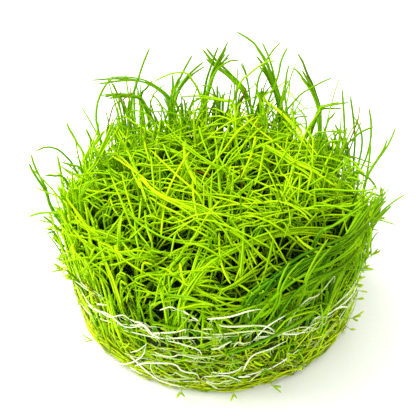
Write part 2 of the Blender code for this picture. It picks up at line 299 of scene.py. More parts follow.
def evenPath(points, count):
    # a smooth path through a few points, as this many points along it
    points = np.asarray(points, float)
    knots = np.concatenate([[2 * points[0] - points[1]], points, [2 * points[-1] - points[-2]]])
    share = np.linspace(0.0, 1.0, 12, endpoint=False)[:, None]
    fine = []
    for i in range(len(points) - 1):
        before, start, end, after = knots[i:i + 4]
        fine.append(0.5 * (2 * start + (end - before) * share
                           + (2 * before - 5 * start + 4 * end - after) * share ** 2
                           + (3 * start - before - 3 * end + after) * share ** 3))
    fine = np.concatenate(fine + [points[-1:]])
    reach = np.concatenate([[0.0], np.cumsum(np.linalg.norm(np.diff(fine, axis=0), axis=1))])
    wanted = ringShares(count) * reach[-1]
    return np.stack([np.interp(wanted, reach, fine[:, axis]) for axis in range(3)], axis=1)


def taper(thickness, count, foot=0.8, tipFrom=0.75):
    # radius along each strand: a little thinner at its foot, then even, then narrowing to its pointed tip
    share = np.linspace(0.0, 1.0, count)
    rise = foot + (1.0 - foot) * np.clip(share / 0.2, 0.0, 1.0)
    fall = 1.0 - 0.5 * np.clip((share - tipFrom) / (1.0 - tipFrom), 0.0, 1.0) ** 1.6
    return np.atleast_1d(thickness)[:, None] * (rise * fall)[None, :]


crowd = {  # the mass of blades: its top is a low dome, which falls away behind, and its inside gets painted shade
    "topHeight": 38.5,
    "topFall": 4.0,
    "backFall": 6.5,
    "backFrom": 0.62,  # share of the rim's radius
    "shadeFrom": 1.0,
    "shadeTo": 8.0,
    "backLight": 0.65,  # how much of the painted shade is taken away behind, where the blades stand thinly and more light gets in
    "leftPaintedLight": 0.18,  # painted light: how much brighter and yellower the blades are made on the left, where the light falls
    "ripple": 1.4,
    "rippleSize": 6.5,
}

# Hollows in the top, where the dark inside shows: the pixel of each, with its radius and depth
hollows = {
    "frontRight": {"pixel": (296, 262), "radius": 11.0, "depth": 9.0},
    "frontMiddle": {"pixel": (236, 280), "radius": 7.0, "depth": 8.0},
    "middle": {"pixel": (166, 231), "radius": 5.0, "depth": 9.0},
    "frontLeft": {"pixel": (177, 290), "radius": 4.0, "depth": 5.0},
    "left": {"pixel": (126, 236), "radius": 4.0, "depth": 7.0},
    "right": {"pixel": (327, 249), "radius": 6.0, "depth": 8.0},
    "backRight": {"pixel": (277, 175), "radius": 4.5, "depth": 7.0},
    "backMiddle": {"pixel": (205, 156), "radius": 4.5, "depth": 6.0},
    "backLeft": {"pixel": (128, 150), "radius": 4.5, "depth": 6.0},
    "lowLeft": {"pixel": (161, 262), "radius": 3.5, "depth": 6.0},
}
# Parts of the side that get painted shade, for the shade of the locks above them
shadedSides = {
    "frontRight": {"pixel": (322, 262), "radius": 14.0, "amount": 0.45},
}
shadedSpots = [(onWall(patch["pixel"], 0.0, crowd["topHeight"]), patch) for patch in shadedSides.values()]
hollowSpots = [(atHeight(hollow["pixel"], crowd["topHeight"] - 3.0), hollow) for hollow in hollows.values()]


def hollowAt(x, y):
    # how far the top of the crowd lies below its usual height here
    sunk = crowd["ripple"] * np.sin(x / crowd["rippleSize"] + 1.3) * np.cos(y / crowd["rippleSize"] - 0.7)
    for spot, hollow in hollowSpots:
        away = ((x - spot[0]) ** 2 + (y - spot[1]) ** 2) / hollow["radius"] ** 2
        sunk = sunk + hollow["depth"] * np.exp(-away)
    return sunk


def domeFall(x, y):
    # how far the crowd's top falls from its middle to this place
    reach = np.hypot(x, y)
    share = reach / puck["rimRadius"]
    behind = smoothStep(-0.15, 0.6, y / np.maximum(reach, 1e-6))
    return crowd["topFall"] * share ** 2 + crowd["backFall"] * behind * smoothStep(crowd["backFrom"], 1.0, share)


def paintedShadeAt(place):
    # painted shade: 0 at the outside of the puck, 1 deep inside the crowd of blades, less behind where the blades stand
    # thinly, and more on the shaded patches of the side
    reach = np.hypot(place[..., 0], place[..., 1])
    under = crowd["topHeight"] - domeFall(place[..., 0], place[..., 1]) - place[..., 2]
    inward = wallRadius(place[..., 2]) - reach
    lit = smoothStep(8.0, 26.0, place[..., 1]) * smoothStep(20.0, 30.0, reach) * smoothStep(16.0, 26.0, place[..., 2])
    shade = smoothStep(crowd["shadeFrom"], crowd["shadeTo"], np.minimum(under, inward * 1.3))
    shade = shade * (1.0 - crowd["backLight"] * lit)
    for spot, patch in shadedSpots:
        away = np.sum((place - spot) ** 2, axis=-1) / patch["radius"] ** 2
        shade = np.maximum(shade, patch["amount"] * np.exp(-away))
    return shade


def strandShape(path, radii, tones, ages, sides, fade=0.0):
    # rings, faces and paint of many strands: path is strands x points x 3, radii is strands x points, and fade
    # is how much the tone changes from foot to tip
    count, points, _ = path.shape
    along = unit(np.gradient(path, axis=1))
    side = np.empty_like(along)
    side[:, 0] = unit(np.cross(along[:, 0], along[:, 0][:, ::-1] + np.array([0.31, 0.17, 0.12])))
    for i in range(1, points):
        carried = side[:, i - 1]
        side[:, i] = unit(carried - along[:, i] * np.sum(carried * along[:, i], axis=1, keepdims=True))
    other = np.cross(along, side)
    turn = (np.arange(sides) / sides * math.tau)[None, None, :, None]
    ring = side[:, :, None] * np.cos(turn) + other[:, :, None] * np.sin(turn)
    rings = points - 1
    skin = (path[:, :-1, None] + ring[:, :-1] * radii[:, :-1, None, None]).reshape(count, rings * sides, 3)
    corners = np.concatenate([skin, path[:, -1:]], axis=1)
    corners[:, :, 2] = np.maximum(corners[:, :, 2], 0.05)

    level, step = (grid.ravel() for grid in np.meshgrid(np.arange(rings - 1), np.arange(sides), indexing="ij"))
    after = (step + 1) % sides
    quads = np.stack([level * sides + step, level * sides + after,
                      (level + 1) * sides + after, (level + 1) * sides + step], axis=1)
    number = np.arange(sides)
    last = (rings - 1) * sides
    tips = np.stack([last + number, last + (number + 1) % sides, np.full(sides, rings * sides)], axis=1)
    loops = np.concatenate([quads.ravel(), tips.ravel(), number[::-1]])
    sizes = np.concatenate([np.full(len(quads), 4), np.full(sides, 3), [sides]])

    # on the map each strand is an upright strip of its own
    quadU = np.stack([step, step + 1, step + 1, step], axis=1) / sides
    quadV = np.stack([level, level, level + 1, level + 1], axis=1) / rings
    tipU = np.stack([number, number + 1, number + 0.5], axis=1) / sides
    tipV = np.tile([1.0 - 1.0 / rings, 1.0 - 1.0 / rings, 1.0], (sides, 1))
    strip = np.stack([np.concatenate([quadU.ravel(), tipU.ravel(), number[::-1] / sides]),
                      np.concatenate([quadV.ravel(), tipV.ravel(), np.zeros(sides)])], axis=1)

    paint = np.ones((count, corners.shape[1], 4))
    paint[:, :, 0] = np.concatenate([np.repeat(np.arange(rings) / rings, sides), [1.0]])
    paint[:, :, 1] = np.clip(np.asarray(tones)[:, None] + fade * paint[:, :, 0], 0.0, 1.0)
    paint[:, :, 2] = np.asarray(ages)[:, None]
    return {"corners": corners, "loops": loops, "sizes": sizes, "strip": strip, "paint": paint}


def makePiece(name, batches, material):
    # one mesh from batches of (path, radii, tones, ages, sides, fade)
    shapes = [strandShape(*batch) for batch in batches]
    total = sum(len(shape["corners"]) for shape in shapes)
    columns = int(math.ceil(math.sqrt(total * 5.0)))  # strips are about five times as tall as they are wide
    rows = int(math.ceil(total / columns))
    corners, loops, sizes, maps, paints = [], [], [], [], []
    firstCorner = firstStrand = 0
    for shape in shapes:
        count, stride = shape["corners"].shape[:2]
        number = np.arange(count)
        corners.append(shape["corners"].reshape(-1, 3))
        loops.append((firstCorner + number[:, None] * stride + shape["loops"][None]).ravel())
        sizes.append(np.tile(shape["sizes"], count))
        cell = firstStrand + number
        u = ((cell % columns)[:, None] + 0.08 + 0.84 * shape["strip"][None, :, 0]) / columns
        v = ((cell // columns)[:, None] + 0.02 + 0.96 * shape["strip"][None, :, 1]) / rows
        maps.append(np.stack([u, v], axis=2).reshape(-1, 2))
        paints.append(shape["paint"].reshape(-1, 4))
        firstCorner += count * stride
        firstStrand += count
    corners, loops, sizes = np.concatenate(corners), np.concatenate(loops), np.concatenate(sizes)
    mesh = bpy.data.meshes.new(name)
    mesh.vertices.add(len(corners))
    mesh.vertices.foreach_set("co", (corners * mm).ravel())
    mesh.loops.add(len(loops))
    mesh.loops.foreach_set("vertex_index", loops)
    mesh.polygons.add(len(sizes))
    mesh.polygons.foreach_set("loop_start", np.concatenate([[0], np.cumsum(sizes)[:-1]]))
    mesh.update(calc_edges=True)
    mesh.uv_layers.new(name="OFBake").data.foreach_set("uv", np.concatenate(maps).ravel())
    mesh.attributes.new("strand", "FLOAT_COLOR", "POINT").data.foreach_set("color", np.concatenate(paints).ravel())
    # each corner's painted shade, by how deep it sits in the crowd
    mesh.attributes.new("painted_shade", "FLOAT", "POINT").data.foreach_set("value", paintedShadeAt(corners))
    mesh.shade_smooth()
    mesh.materials.append(material)
    piece = bpy.data.objects.new(name, mesh)
    bpy.context.scene.collection.objects.link(piece)
    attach(piece, "root")
    return piece


# Blades are gathered here, and each goes to the tuft whose ground its foot stands on
gathered = []


def gather(path, thickness, tones, ages, sides=4, tipFrom=0.75, fade=0.0):
    gathered.append((path, taper(thickness, path.shape[1], tipFrom=tipFrom), tones, ages, sides, fade))


def pick(rng, span, count):
    return rng.uniform(span[0], span[1], count)


def pressIn(path, limit, lid, soft, sink):
    # the cup that the puck grew in: its side and its lid bend the blades that reach them
    reach = np.hypot(path[..., 0], path[..., 1])
    bound = limit(path[..., 2])
    pressed = np.where(reach > bound - soft, bound - soft * np.exp(-(reach - bound + soft) / soft), reach)
    path[..., :2] *= (pressed / np.maximum(reach, 1e-6))[..., None]
    x, y = path[..., 0], path[..., 1]
    ceiling = lid - domeFall(x, y) - sink * hollowAt(x, y)
    over = path[..., 2] - (ceiling - soft)
    path[..., 2] = np.where(over > 0, ceiling - soft * np.exp(-over / soft), path[..., 2])
    return path


def growArcs(rng, feet, settings):
    # a blade leaves its foot steeply, bends over higher up and curls to one side all the way
    count, points = len(feet), settings["points"]
    length = pick(rng, settings["length"], count)[:, None]
    rings = ringShares(points)
    steps = np.diff(rings)[None] * length
    along = ((rings[1:] + rings[:-1]) / 2)[None] * length
    footPitch = np.radians(pick(rng, settings["footPitch"], count))[:, None]
    tipPitch = np.radians(pick(rng, settings["tipPitch"], count))[:, None]
    bendFrom = pick(rng, settings["bendFrom"], count)[:, None]
    bendTo = bendFrom + pick(rng, settings["bendOver"], count)[:, None]
    pitch = footPitch + (tipPitch - footPitch) * smoothStep(bendFrom, bendTo, along)
    outward = np.arctan2(feet[:, 1], feet[:, 0])
    facing = outward + np.radians(rng.normal(settings["facing"][0], settings["facing"][1], count))
    curl = np.radians(rng.normal(settings.get("turn", 0.0), settings["curl"], count))[:, None]
    wave = np.radians(rng.normal(0.0, settings["wave"], count))[:, None]
    phase = pick(rng, (0.0, math.tau), count)[:, None]
    yaw = facing[:, None] + curl * along + wave * np.sin(along / length * 1.6 * math.tau + phase)
    heading = np.stack([np.cos(pitch) * np.cos(yaw), np.cos(pitch) * np.sin(yaw), np.sin(pitch)], axis=2)
    travel = np.cumsum(heading * steps[:, :, None], axis=1)
    path = feet[:, None] + np.concatenate([np.zeros((count, 1, 3)), travel], axis=1)
    room = pick(rng, settings["room"], count)[:, None]
    lid = pick(rng, settings["lid"], count)[:, None]

    def limit(height):
        return wallRadius(height) - room + settings["overhang"] * smoothStep(30.0, 48.0, height)

    return pressIn(path, limit, lid, settings["soft"], settings["sink"])


def lockOf(guide, rng, blades, tight, footSpread, tipSpread, uneven=0.3, pinch=0.55):
    # a wet lock: blades that run close together along one path and part at its ends
    share = ringShares(len(guide))
    away = np.where(share < pinch, (pinch - share) / pinch, (share - pinch) / (1.0 - pinch))
    spread = tight + np.where(share < pinch, footSpread, tipSpread) * away ** 1.7
    offset = rng.normal(0.0, 1.0, (blades, 3))
    offset /= np.maximum(np.linalg.norm(offset, axis=1, keepdims=True), 0.6)
    turn = rng.normal(0.0, 1.0, (blades, 3))
    path = guide[None] + (offset[:, None] + turn[:, None] * 0.5 * share[None, :, None]) * spread[None, :, None]
    cut = 1.0 - rng.uniform(0.0, uneven, blades) ** 1.3
    cut[0] = 1.0
    return np.stack([np.stack([np.interp(share * part, share, strand[:, axis]) for axis in range(3)], axis=1)
                     for strand, part in zip(path, cut)])


def growFamily(name, seed, settings):
    rng = np.random.default_rng(seed)
    guides = settings["guides"]
    angle = np.radians(pick(rng, settings["angles"], guides))
    height = pick(rng, settings["footHeight"], guides)
    low, high = settings["footRadius"]
    radius = np.minimum(np.sqrt(pick(rng, (low ** 2, high ** 2), guides)), wallRadius(height) - 0.4)
    path = growArcs(rng, around(angle, radius, height), settings)
    tones = rng.normal(settings["tone"], settings["toneSpread"], guides)
    # painted light: blades on the left are given brighter, yellower tones where the light falls
    tones += crowd["leftPaintedLight"] * smoothStep(14.0, 34.0, -path[:, 0, 0])
    if settings["perLock"] > 1:
        locks, lockTones = [], []
        for guide, tone in zip(path, tones):
            blades = int(rng.integers(2, 2 * settings["perLock"] - 1))
            locks.append(lockOf(guide, rng, blades, rng.uniform(*settings["tight"]), settings["footSpread"],
                                settings["tipSpread"], pinch=rng.uniform(0.35, 0.85)))
            lockTones.append(tone + rng.normal(0.0, 0.12, blades))
        path, tones = np.concatenate(locks), np.concatenate(lockTones)
    count = len(path)
    ages = (rng.uniform(0.0, 1.0, count) < settings["oldShare"]) * rng.uniform(0.4, 1.0, count)
    gather(path, pick(rng, settings["thickness"], count), np.clip(tones, 0.0, 1.0), ages, settings["sides"],
           fade=settings.get("fade", 0.0))
    print("grown blades,", name + ":", count)


crownBlades = {  # long ones that rise inside the puck, bend over and lie across one another on top
    "guides": 125, "perLock": 2, "points": 17, "sides": 4, "angles": (0, 360), "footRadius": (0.0, 31.0),
    "footHeight": (9.0, 14.0), "footPitch": (66, 88), "bendFrom": (10.0, 22.0), "bendOver": (12.0, 26.0),
    "tipPitch": (-15, 50), "facing": (0, 180), "curl": 0.4, "wave": 2, "length": (44.0, 66.0),
    "room": (1.5, 8.0), "lid": (36.0, 43.0), "soft": 6.0, "sink": 0.8, "overhang": 0.0, "tight": (0.4, 1.6),
    "footSpread": 2.5, "tipSpread": 4.5, "thickness": (0.22, 0.28), "tone": 0.72, "toneSpread": 0.2,
    "oldShare": 0.008,
}
looseBlades = dict(crownBlades, guides=120, perLock=1, lid=(38.5, 44.5), curl=0.5, tipPitch=(-20, 40), wave=2,
                   length=(46.0, 70.0), thickness=(0.23, 0.29), tone=0.86)
uprightBlades = dict(crownBlades, guides=235, bendFrom=(16.0, 30.0), bendOver=(14.0, 26.0), tipPitch=(15, 75),
                     length=(24.0, 38.0), lid=(37.0, 46.0), soft=3.0, sink=0.7, thickness=(0.20, 0.27), tone=0.58)
# the middle blades lie under the top, dark toned as painted shade
middleBlades = dict(crownBlades, guides=260, lid=(27.0, 35.0), length=(28.0, 48.0), tone=0.3, sink=1.0)
backBlades = dict(uprightBlades, guides=60, curl=0.4, angles=(5, 175), footRadius=(10.0, 35.0), length=(26.0, 38.0),
                  lid=(40.0, 48.0), tipPitch=(40, 85), room=(0.5, 6.0), tone=0.82, fade=-0.4)  # they stand over the dome behind
frontBlades = dict(crownBlades, guides=30, angles=(190, 350), footRadius=(14.0, 31.0), facing=(0, 75),
                   bendFrom=(16.0, 26.0), bendOver=(16.0, 26.0), tipPitch=(-40, 35), length=(38.0, 56.0),
                   room=(-0.6, 3.0), tone=0.66)  # they lean out over the front of the rim
wallBlades = {  # pressed against the side of the old cup
    "guides": 270, "perLock": 3, "points": 13, "sides": 4, "angles": (0, 360), "footRadius": (32.0, 37.0),
    "footHeight": (0.5, 14.0), "footPitch": (52, 88), "bendFrom": (20.0, 30.0), "bendOver": (8.0, 18.0),
    "tipPitch": (-30, 60), "facing": (0, 80), "curl": 0.8, "wave": 4, "length": (14.0, 34.0),
    "room": (-1.1, 2.4), "lid": (29.0, 37.0), "soft": 3.0, "sink": 0.3, "overhang": 0.3, "tight": (0.3, 1.0),
    "footSpread": 1.2, "tipSpread": 2.0, "thickness": (0.20, 0.27), "tone": 0.3, "toneSpread": 0.22,
    "oldShare": 0.008,
}
fanBlades = dict(wallBlades, guides=100, perLock=2, angles=(175, 365), footRadius=(33.0, 37.5),
                 footHeight=(6.0, 15.0), footPitch=(48, 85), bendFrom=(18.0, 28.0), bendOver=(14.0, 24.0),
                 tipPitch=(5, 60), length=(28.0, 46.0), room=(-0.9, 2.5), lid=(35.0, 43.0), sink=0.6,
                 tone=0.5)  # they fan out over the front of the side and into the top
flankBlades = dict(fanBlades, guides=110, perLock=1, angles=(150, 240), footHeight=(4.0, 14.0), footPitch=(66, 88),
                   tipPitch=(35, 85), length=(26.0, 40.0), room=(-1.3, 0.6), curl=0.5, wave=2,
                   tone=1.0)  # long ones that stand up the left side, made bright as painted light from the left
sweepBlades = dict(wallBlades, guides=4, perLock=5, points=17, angles=(-105, -75), footRadius=(34.0, 37.5),
                   footHeight=(15.0, 23.0), footPitch=(24, 40), bendFrom=(16.0, 26.0), bendOver=(10.0, 20.0),
                   facing=(78, 8), turn=1.15, curl=0.15, wave=2, tipPitch=(12, 32), length=(34.0, 46.0),
                   room=(-1.2, 0.2), lid=(40.0, 46.0), overhang=4.0, footSpread=0.8, tipSpread=1.2, tone=0.3,
                   toneSpread=0.1, oldShare=0.0)  # wet locks that sweep round to the right, dark toned as painted shade
fenceBlades = {  # locks that stand round the back and the sides, with gaps between them
    "guides": 36, "perLock": 3, "points": 13, "sides": 4, "angles": (-25, 195), "footRadius": (28.0, 37.5),
    "footHeight": (8.0, 14.0), "footPitch": (78, 90), "bendFrom": (12.0, 26.0), "bendOver": (12.0, 24.0),
    "tipPitch": (52, 88), "facing": (0, 90), "curl": 0.5, "wave": 2, "length": (27.0, 41.0),
    "room": (0.2, 2.5), "lid": (60.0, 61.0), "soft": 5.0, "sink": 0.0, "overhang": 2.0, "tight": (0.3, 0.7),
    "footSpread": 1.6, "tipSpread": 3.0, "thickness": (0.20, 0.26), "tone": 0.95, "toneSpread": 0.16,
    "oldShare": 0.01, "fade": -0.55,
}
rimBlades = {  # wet locks that stand clear of the rim along the back
    "guides": 13, "perLock": 5, "points": 15, "sides": 4, "angles": (15, 165), "footRadius": (22.0, 36.0),
    "footHeight": (10.0, 15.0), "footPitch": (76, 90), "bendFrom": (18.0, 30.0), "bendOver": (14.0, 24.0),
    "tipPitch": (-10, 75), "facing": (0, 75), "curl": 1.0, "wave": 4, "length": (30.0, 42.0),
    "room": (0.3, 3.0), "lid": (46.0, 54.0), "soft": 8.0, "sink": 0.0, "overhang": 2.0, "tight": (0.35, 0.9),
    "footSpread": 1.6, "tipSpread": 3.0, "thickness": (0.23, 0.29), "tone": 0.8, "toneSpread": 0.16,
    "oldShare": 0.01, "fade": -0.65,
}
rimStrays = dict(rimBlades, guides=36, angles=(-15, 195), perLock=1, tipPitch=(-30, 70), curl=1.5, tone=0.9,
                 length=(28.0, 42.0))
skirtBlades = dict(wallBlades, guides=760, perLock=1, points=9, footHeight=(0.3, 13.0), footPitch=(30, 88),
                   bendFrom=(4.0, 10.0), bendOver=(6.0, 12.0), length=(7.0, 19.0), room=(-1.3, 0.8),
                   curl=1.5, lid=(26.0, 34.0), thickness=(0.20, 0.28),
                   tone=0.68)  # short ones that stand among the runners
underBlades = {  # short ones that fill the shade between the others, dark toned as painted shade
    "guides": 1500, "perLock": 1, "points": 9, "sides": 3, "angles": (0, 360), "footRadius": (0.0, 34.0),
    "footHeight": (8.0, 17.0), "footPitch": (45, 88), "bendFrom": (6.0, 14.0), "bendOver": (8.0, 16.0),
    "tipPitch": (-30, 60), "facing": (0, 180), "curl": 2.5, "wave": 8, "length": (12.0, 24.0),
    "room": (0.8, 4.0), "lid": (23.0, 31.0), "soft": 4.0, "sink": 0.5, "overhang": 0.0, "thickness": (0.18, 0.25),
    "tone": 0.15, "toneSpread": 0.15, "oldShare": 0.02,
}
families = {"crown": crownBlades, "loose": looseBlades, "upright": uprightBlades, "middle": middleBlades,
            "back": backBlades, "front": frontBlades, "wall": wallBlades, "fan": fanBlades,
            "flank": flankBlades, "sweep": sweepBlades,
            "fence": fenceBlades, "rim": rimBlades, "rim strays": rimStrays, "skirt": skirtBlades,
            "under": underBlades}
for seed, (name, family) in enumerate(families.items()):
    growFamily(name, 11 + seed, family)

# Blades that stand out in the photograph along the rim: pixels from the tip down, the y of tip and foot, and for
# a lock the number of blades
rimTraces = {
    "leftSpike": {"pixels": [(150, 47), (143, 64), (138, 80), (134, 97)], "depth": (30, 32)},
    "leftArch": {"pixels": [(95.5, 78.5), (119, 77), (139, 78.5), (154, 85), (166, 94), (172, 105)],
                 "depth": (22, 35), "blades": 3},
    "leftHook": {"pixels": [(114, 76), (105, 86), (98, 101), (96, 117), (98, 129)], "depth": (22, 20)},
    "leftLevel": {"pixels": [(104, 97), (119, 94), (133, 95.5), (143, 101)], "depth": (26, 30), "blades": 4},
    "shortSlant": {"pixels": [(152.5, 80), (146, 89), (141, 98)], "depth": (34, 34)},
    "leftCurl": {"pixels": [(67, 121), (68, 127), (74, 137), (79, 147), (83, 153)], "depth": (18, 14)},
    "leftBow": {"pixels": [(35, 151.5), (46, 147), (57, 149), (66, 156.5), (74, 167)], "depth": (10, 10)},
    "leftLong": {"pixels": [(28, 154), (32, 165), (39, 178), (46, 190), (53, 210)], "depth": (2, 2), "blades": 2},
    "leftYellow": {"pixels": [(57, 154), (61, 174), (65, 200)], "depth": (8, 6), "tone": 0.9},
    "leftTwig": {"pixels": [(43, 175), (54, 176), (65, 179)], "depth": (0, 2)},
    "leftTwo": {"pixels": [(61, 162), (71, 165), (81, 170)], "depth": (8, 8)},
    "leftStub": {"pixels": [(85.5, 128), (91.5, 141), (95, 150)], "depth": (20, 18)},
    "lowLeftBow": {"pixels": [(28, 217), (40, 213), (55, 213), (64, 218)], "depth": (-6, -8)},
    "lowLeftSlant": {"pixels": [(42, 215), (53, 224), (63, 235)], "depth": (-6, -8)},
    "lowLeftStub": {"pixels": [(53, 238), (61, 245), (69, 250)], "depth": (-8, -9)},
    "midSpike": {"pixels": [(195, 37), (206, 52), (218, 65), (228, 73), (237, 83), (245, 92)], "depth": (40, 36),
                 "blades": 4},
    "midCross": {"pixels": [(222, 41.5), (215, 58), (207, 80), (205, 92)], "depth": (38, 36), "blades": 2},
    "midCrossTwo": {"pixels": [(227, 47), (220, 60), (213, 72), (208, 90)], "depth": (38, 36), "blades": 5},
    "midTop": {"pixels": [(237, 57), (230, 57), (220, 64), (212, 76)], "depth": (38, 36), "blades": 2},
    "midLeftBow": {"pixels": [(201, 60), (189, 72), (180, 85), (175, 97)], "depth": (36, 34), "blades": 5},
    "midLeftTwo": {"pixels": [(179, 77), (175, 87), (174, 98)], "depth": (35, 34)},
    "midArc": {"pixels": [(153, 82), (170, 74), (186, 72.5), (192, 80), (199, 92)], "depth": (32, 34), "tone": 0.8},
    "midLow": {"pixels": [(182, 98.5), (202, 97), (224, 100.5), (234, 104)], "depth": (28, 28), "blades": 2,
               "tone": 0.95},
    "midTwig": {"pixels": [(172.5, 74), (173, 86), (174, 97)], "depth": (36, 36)},
    "midPole": {"pixels": [(217, 84), (218, 108)], "depth": (34, 32)},
    "rightPeak": {"pixels": [(234.5, 30.5), (245, 36.5), (254, 43), (261, 53), (268, 64), (272, 79), (277, 93),
                             (280, 106)], "depth": (42, 33), "tone": 0.2},
    "rightPeakTwo": {"pixels": [(255, 48), (262, 57), (269, 70), (273, 82), (278, 96), (281, 110)],
                     "depth": (40, 33), "blades": 7},
    "rightFan": {"pixels": [(282, 41), (274, 49), (267, 59), (262, 70), (258, 81), (254, 104)], "depth": (36, 34)},
    "rightThin": {"pixels": [(288, 46), (281, 61), (277, 79)], "depth": (34, 34)},
    "rightThinTwo": {"pixels": [(290, 63), (287, 72), (285, 92), (286, 104)], "depth": (33, 32)},
    "rightBridge": {"pixels": [(278, 61), (268, 61.5), (258, 67), (246, 77), (240, 84)], "depth": (34, 34),
                    "tone": 0.8},
    "rightBow": {"pixels": [(288, 58), (295.5, 64), (303, 76), (311, 88), (316, 101), (319, 113)],
                 "depth": (34, 28), "blades": 4},
    "rightSlant": {"pixels": [(334, 77), (322, 82), (311, 88), (301, 94), (293, 103), (286, 112)],
                   "depth": (28, 30)},
    "rightLevel": {"pixels": [(345, 107), (334, 107), (326, 108), (319, 112)], "depth": (26, 26), "blades": 4},
    "rightPole": {"pixels": [(342, 88), (344, 115), (344.5, 134), (343, 143)], "depth": (24, 22)},
    "rightPoleTwo": {"pixels": [(350, 94), (353, 115), (355, 139), (354, 156), (352, 182)], "depth": (22, 16)},
    "sideBow": {"pixels": [(354, 116), (361, 131), (362, 146), (358, 166), (353, 185)], "depth": (20, 14)},
    "sideArc": {"pixels": [(368.5, 106), (371, 121), (370.5, 141), (365, 161), (357, 176), (352, 188)],
                "depth": (16, 12)},
    "sideLong": {"pixels": [(393, 128), (386, 147), (374, 165), (367, 178), (363, 194)], "depth": (8, 2),
                 "blades": 2},
    "sideSlant": {"pixels": [(375, 126), (361, 132), (353, 139), (345, 147)], "depth": (10, 14)},
    "sideSlantTwo": {"pixels": [(371, 141), (369, 161), (366, 179), (362, 197)], "depth": (10, 4)},
    "innerLevel": {"pixels": [(349, 134), (339, 131.5), (326, 132), (313, 137)], "depth": (18, 18)},
    "sidePole": {"pixels": [(334, 128), (341, 141), (347, 156), (349, 172), (350, 182)], "depth": (18, 12),
                 "blades": 3},
    "sidePoleTwo": {"pixels": [(331, 127), (334, 133), (340, 156), (346, 177), (351, 192)], "depth": (18, 12)},
    "sideHook": {"pixels": [(378, 191), (371, 180), (363, 175), (353, 174)], "depth": (0, 4)},
    "sideTwig": {"pixels": [(381, 196), (373, 194), (365, 195)], "depth": (-2, 0)},
    "rightWing": {"pixels": [(399, 188), (391, 195), (380, 207), (371, 219), (365, 233), (361, 243)],
                  "depth": (-4, -10), "blades": 5},
    "rightWingTwo": {"pixels": [(385, 183), (384, 194), (376, 203), (365, 210), (356, 219), (351, 228)],
                     "depth": (-2, -8), "blades": 5},
    "rightWingThree": {"pixels": [(388, 205), (380, 214), (373, 224), (366, 238)], "depth": (-6, -11), "blades": 3},
    "standOne": {"pixels": [(321, 137), (325, 155), (330, 177)], "depth": (24, 16), "tone": 0.5, "blades": 2},
    "standTwo": {"pixels": [(315, 131), (319, 148), (324, 166)], "depth": (26, 20), "tone": 0.5},
    "standThree": {"pixels": [(309, 130), (312, 147), (314, 165)], "depth": (28, 22), "tone": 0.5, "blades": 2},
    "standFour": {"pixels": [(336, 137), (343, 150), (349, 166)], "depth": (20, 12), "tone": 0.5, "blades": 2},
    "standFive": {"pixels": [(342, 136), (337, 150), (333, 166)], "depth": (18, 14), "tone": 0.5},
    "standSix": {"pixels": [(327, 130), (333, 155), (337, 186)], "depth": (22, 12), "tone": 0.5, "blades": 2},
    "thinTwig": {"pixels": [(336, 111), (331, 118), (327, 124)], "depth": (24, 22)},
    "redBrown": {"pixels": [(134, 91.5), (128, 96.5), (120, 101.5), (112, 109.5)], "depth": (26, 22), "age": 0.75,
                 "thin": 0.6},
    "redBrownTwo": {"pixels": [(97.5, 138), (90, 149), (87, 159)], "depth": (18, 14), "age": 0.75, "thin": 0.6},
}

# Wet locks that lie on the side and sweep round to the right, as pixels from foot to tip; their dark tones are painted
# shade
sweepTraces = {
    "sweepTop": {"pixels": [(250, 292), (275, 277), (300, 263), (325, 252), (346, 241), (360, 228), (371, 212)],
                 "blades": 2, "tone": 0.25},
    "sweepMiddle": {"pixels": [(252, 303), (270, 286), (290, 270), (314, 258), (338, 250), (353, 240), (363, 228),
                               (372, 216), (381, 203)], "blades": 4},
    "sweepLow": {"pixels": [(262, 309), (283, 288), (304, 274), (325, 265), (343, 253), (356, 242), (365, 228)],
                 "blades": 2, "tone": 0.3},
    "sweepBase": {"pixels": [(280, 312), (293, 294), (311, 279), (336, 268), (350, 256), (359, 243)], "blades": 2,
                  "tone": 0.15},
    "sweepEdge": {"pixels": [(302, 312), (312, 293), (325, 279), (344, 268), (353, 254), (360, 240)],
                  "blades": 2, "tone": 0.3},
    "sweepInner": {"pixels": [(262, 291), (280, 271), (302, 255), (330, 243), (350, 234), (366, 219), (377, 205)],
                   "blades": 2, "tone": 0.0},
    "sweepRise": {"pixels": [(325, 262), (340, 247), (352, 231), (363, 216), (374, 202), (384, 187)], "blades": 4,
                  "tone": 0.15},
    "sweepUpper": {"pixels": [(318, 236), (334, 226), (348, 216), (361, 207), (374, 197)], "blades": 3, "tone": 0.3},
    "sweepCross": {"pixels": [(300, 300), (306, 280), (316, 262), (330, 245)], "blades": 2, "tone": 0.5},
    "sweepCrossTwo": {"pixels": [(328, 306), (336, 284), (346, 264), (354, 246)], "blades": 3, "tone": 0.5},
    "sweepCrossThree": {"pixels": [(276, 306), (281, 286), (290, 268), (303, 252)], "blades": 2, "tone": 0.45},
}

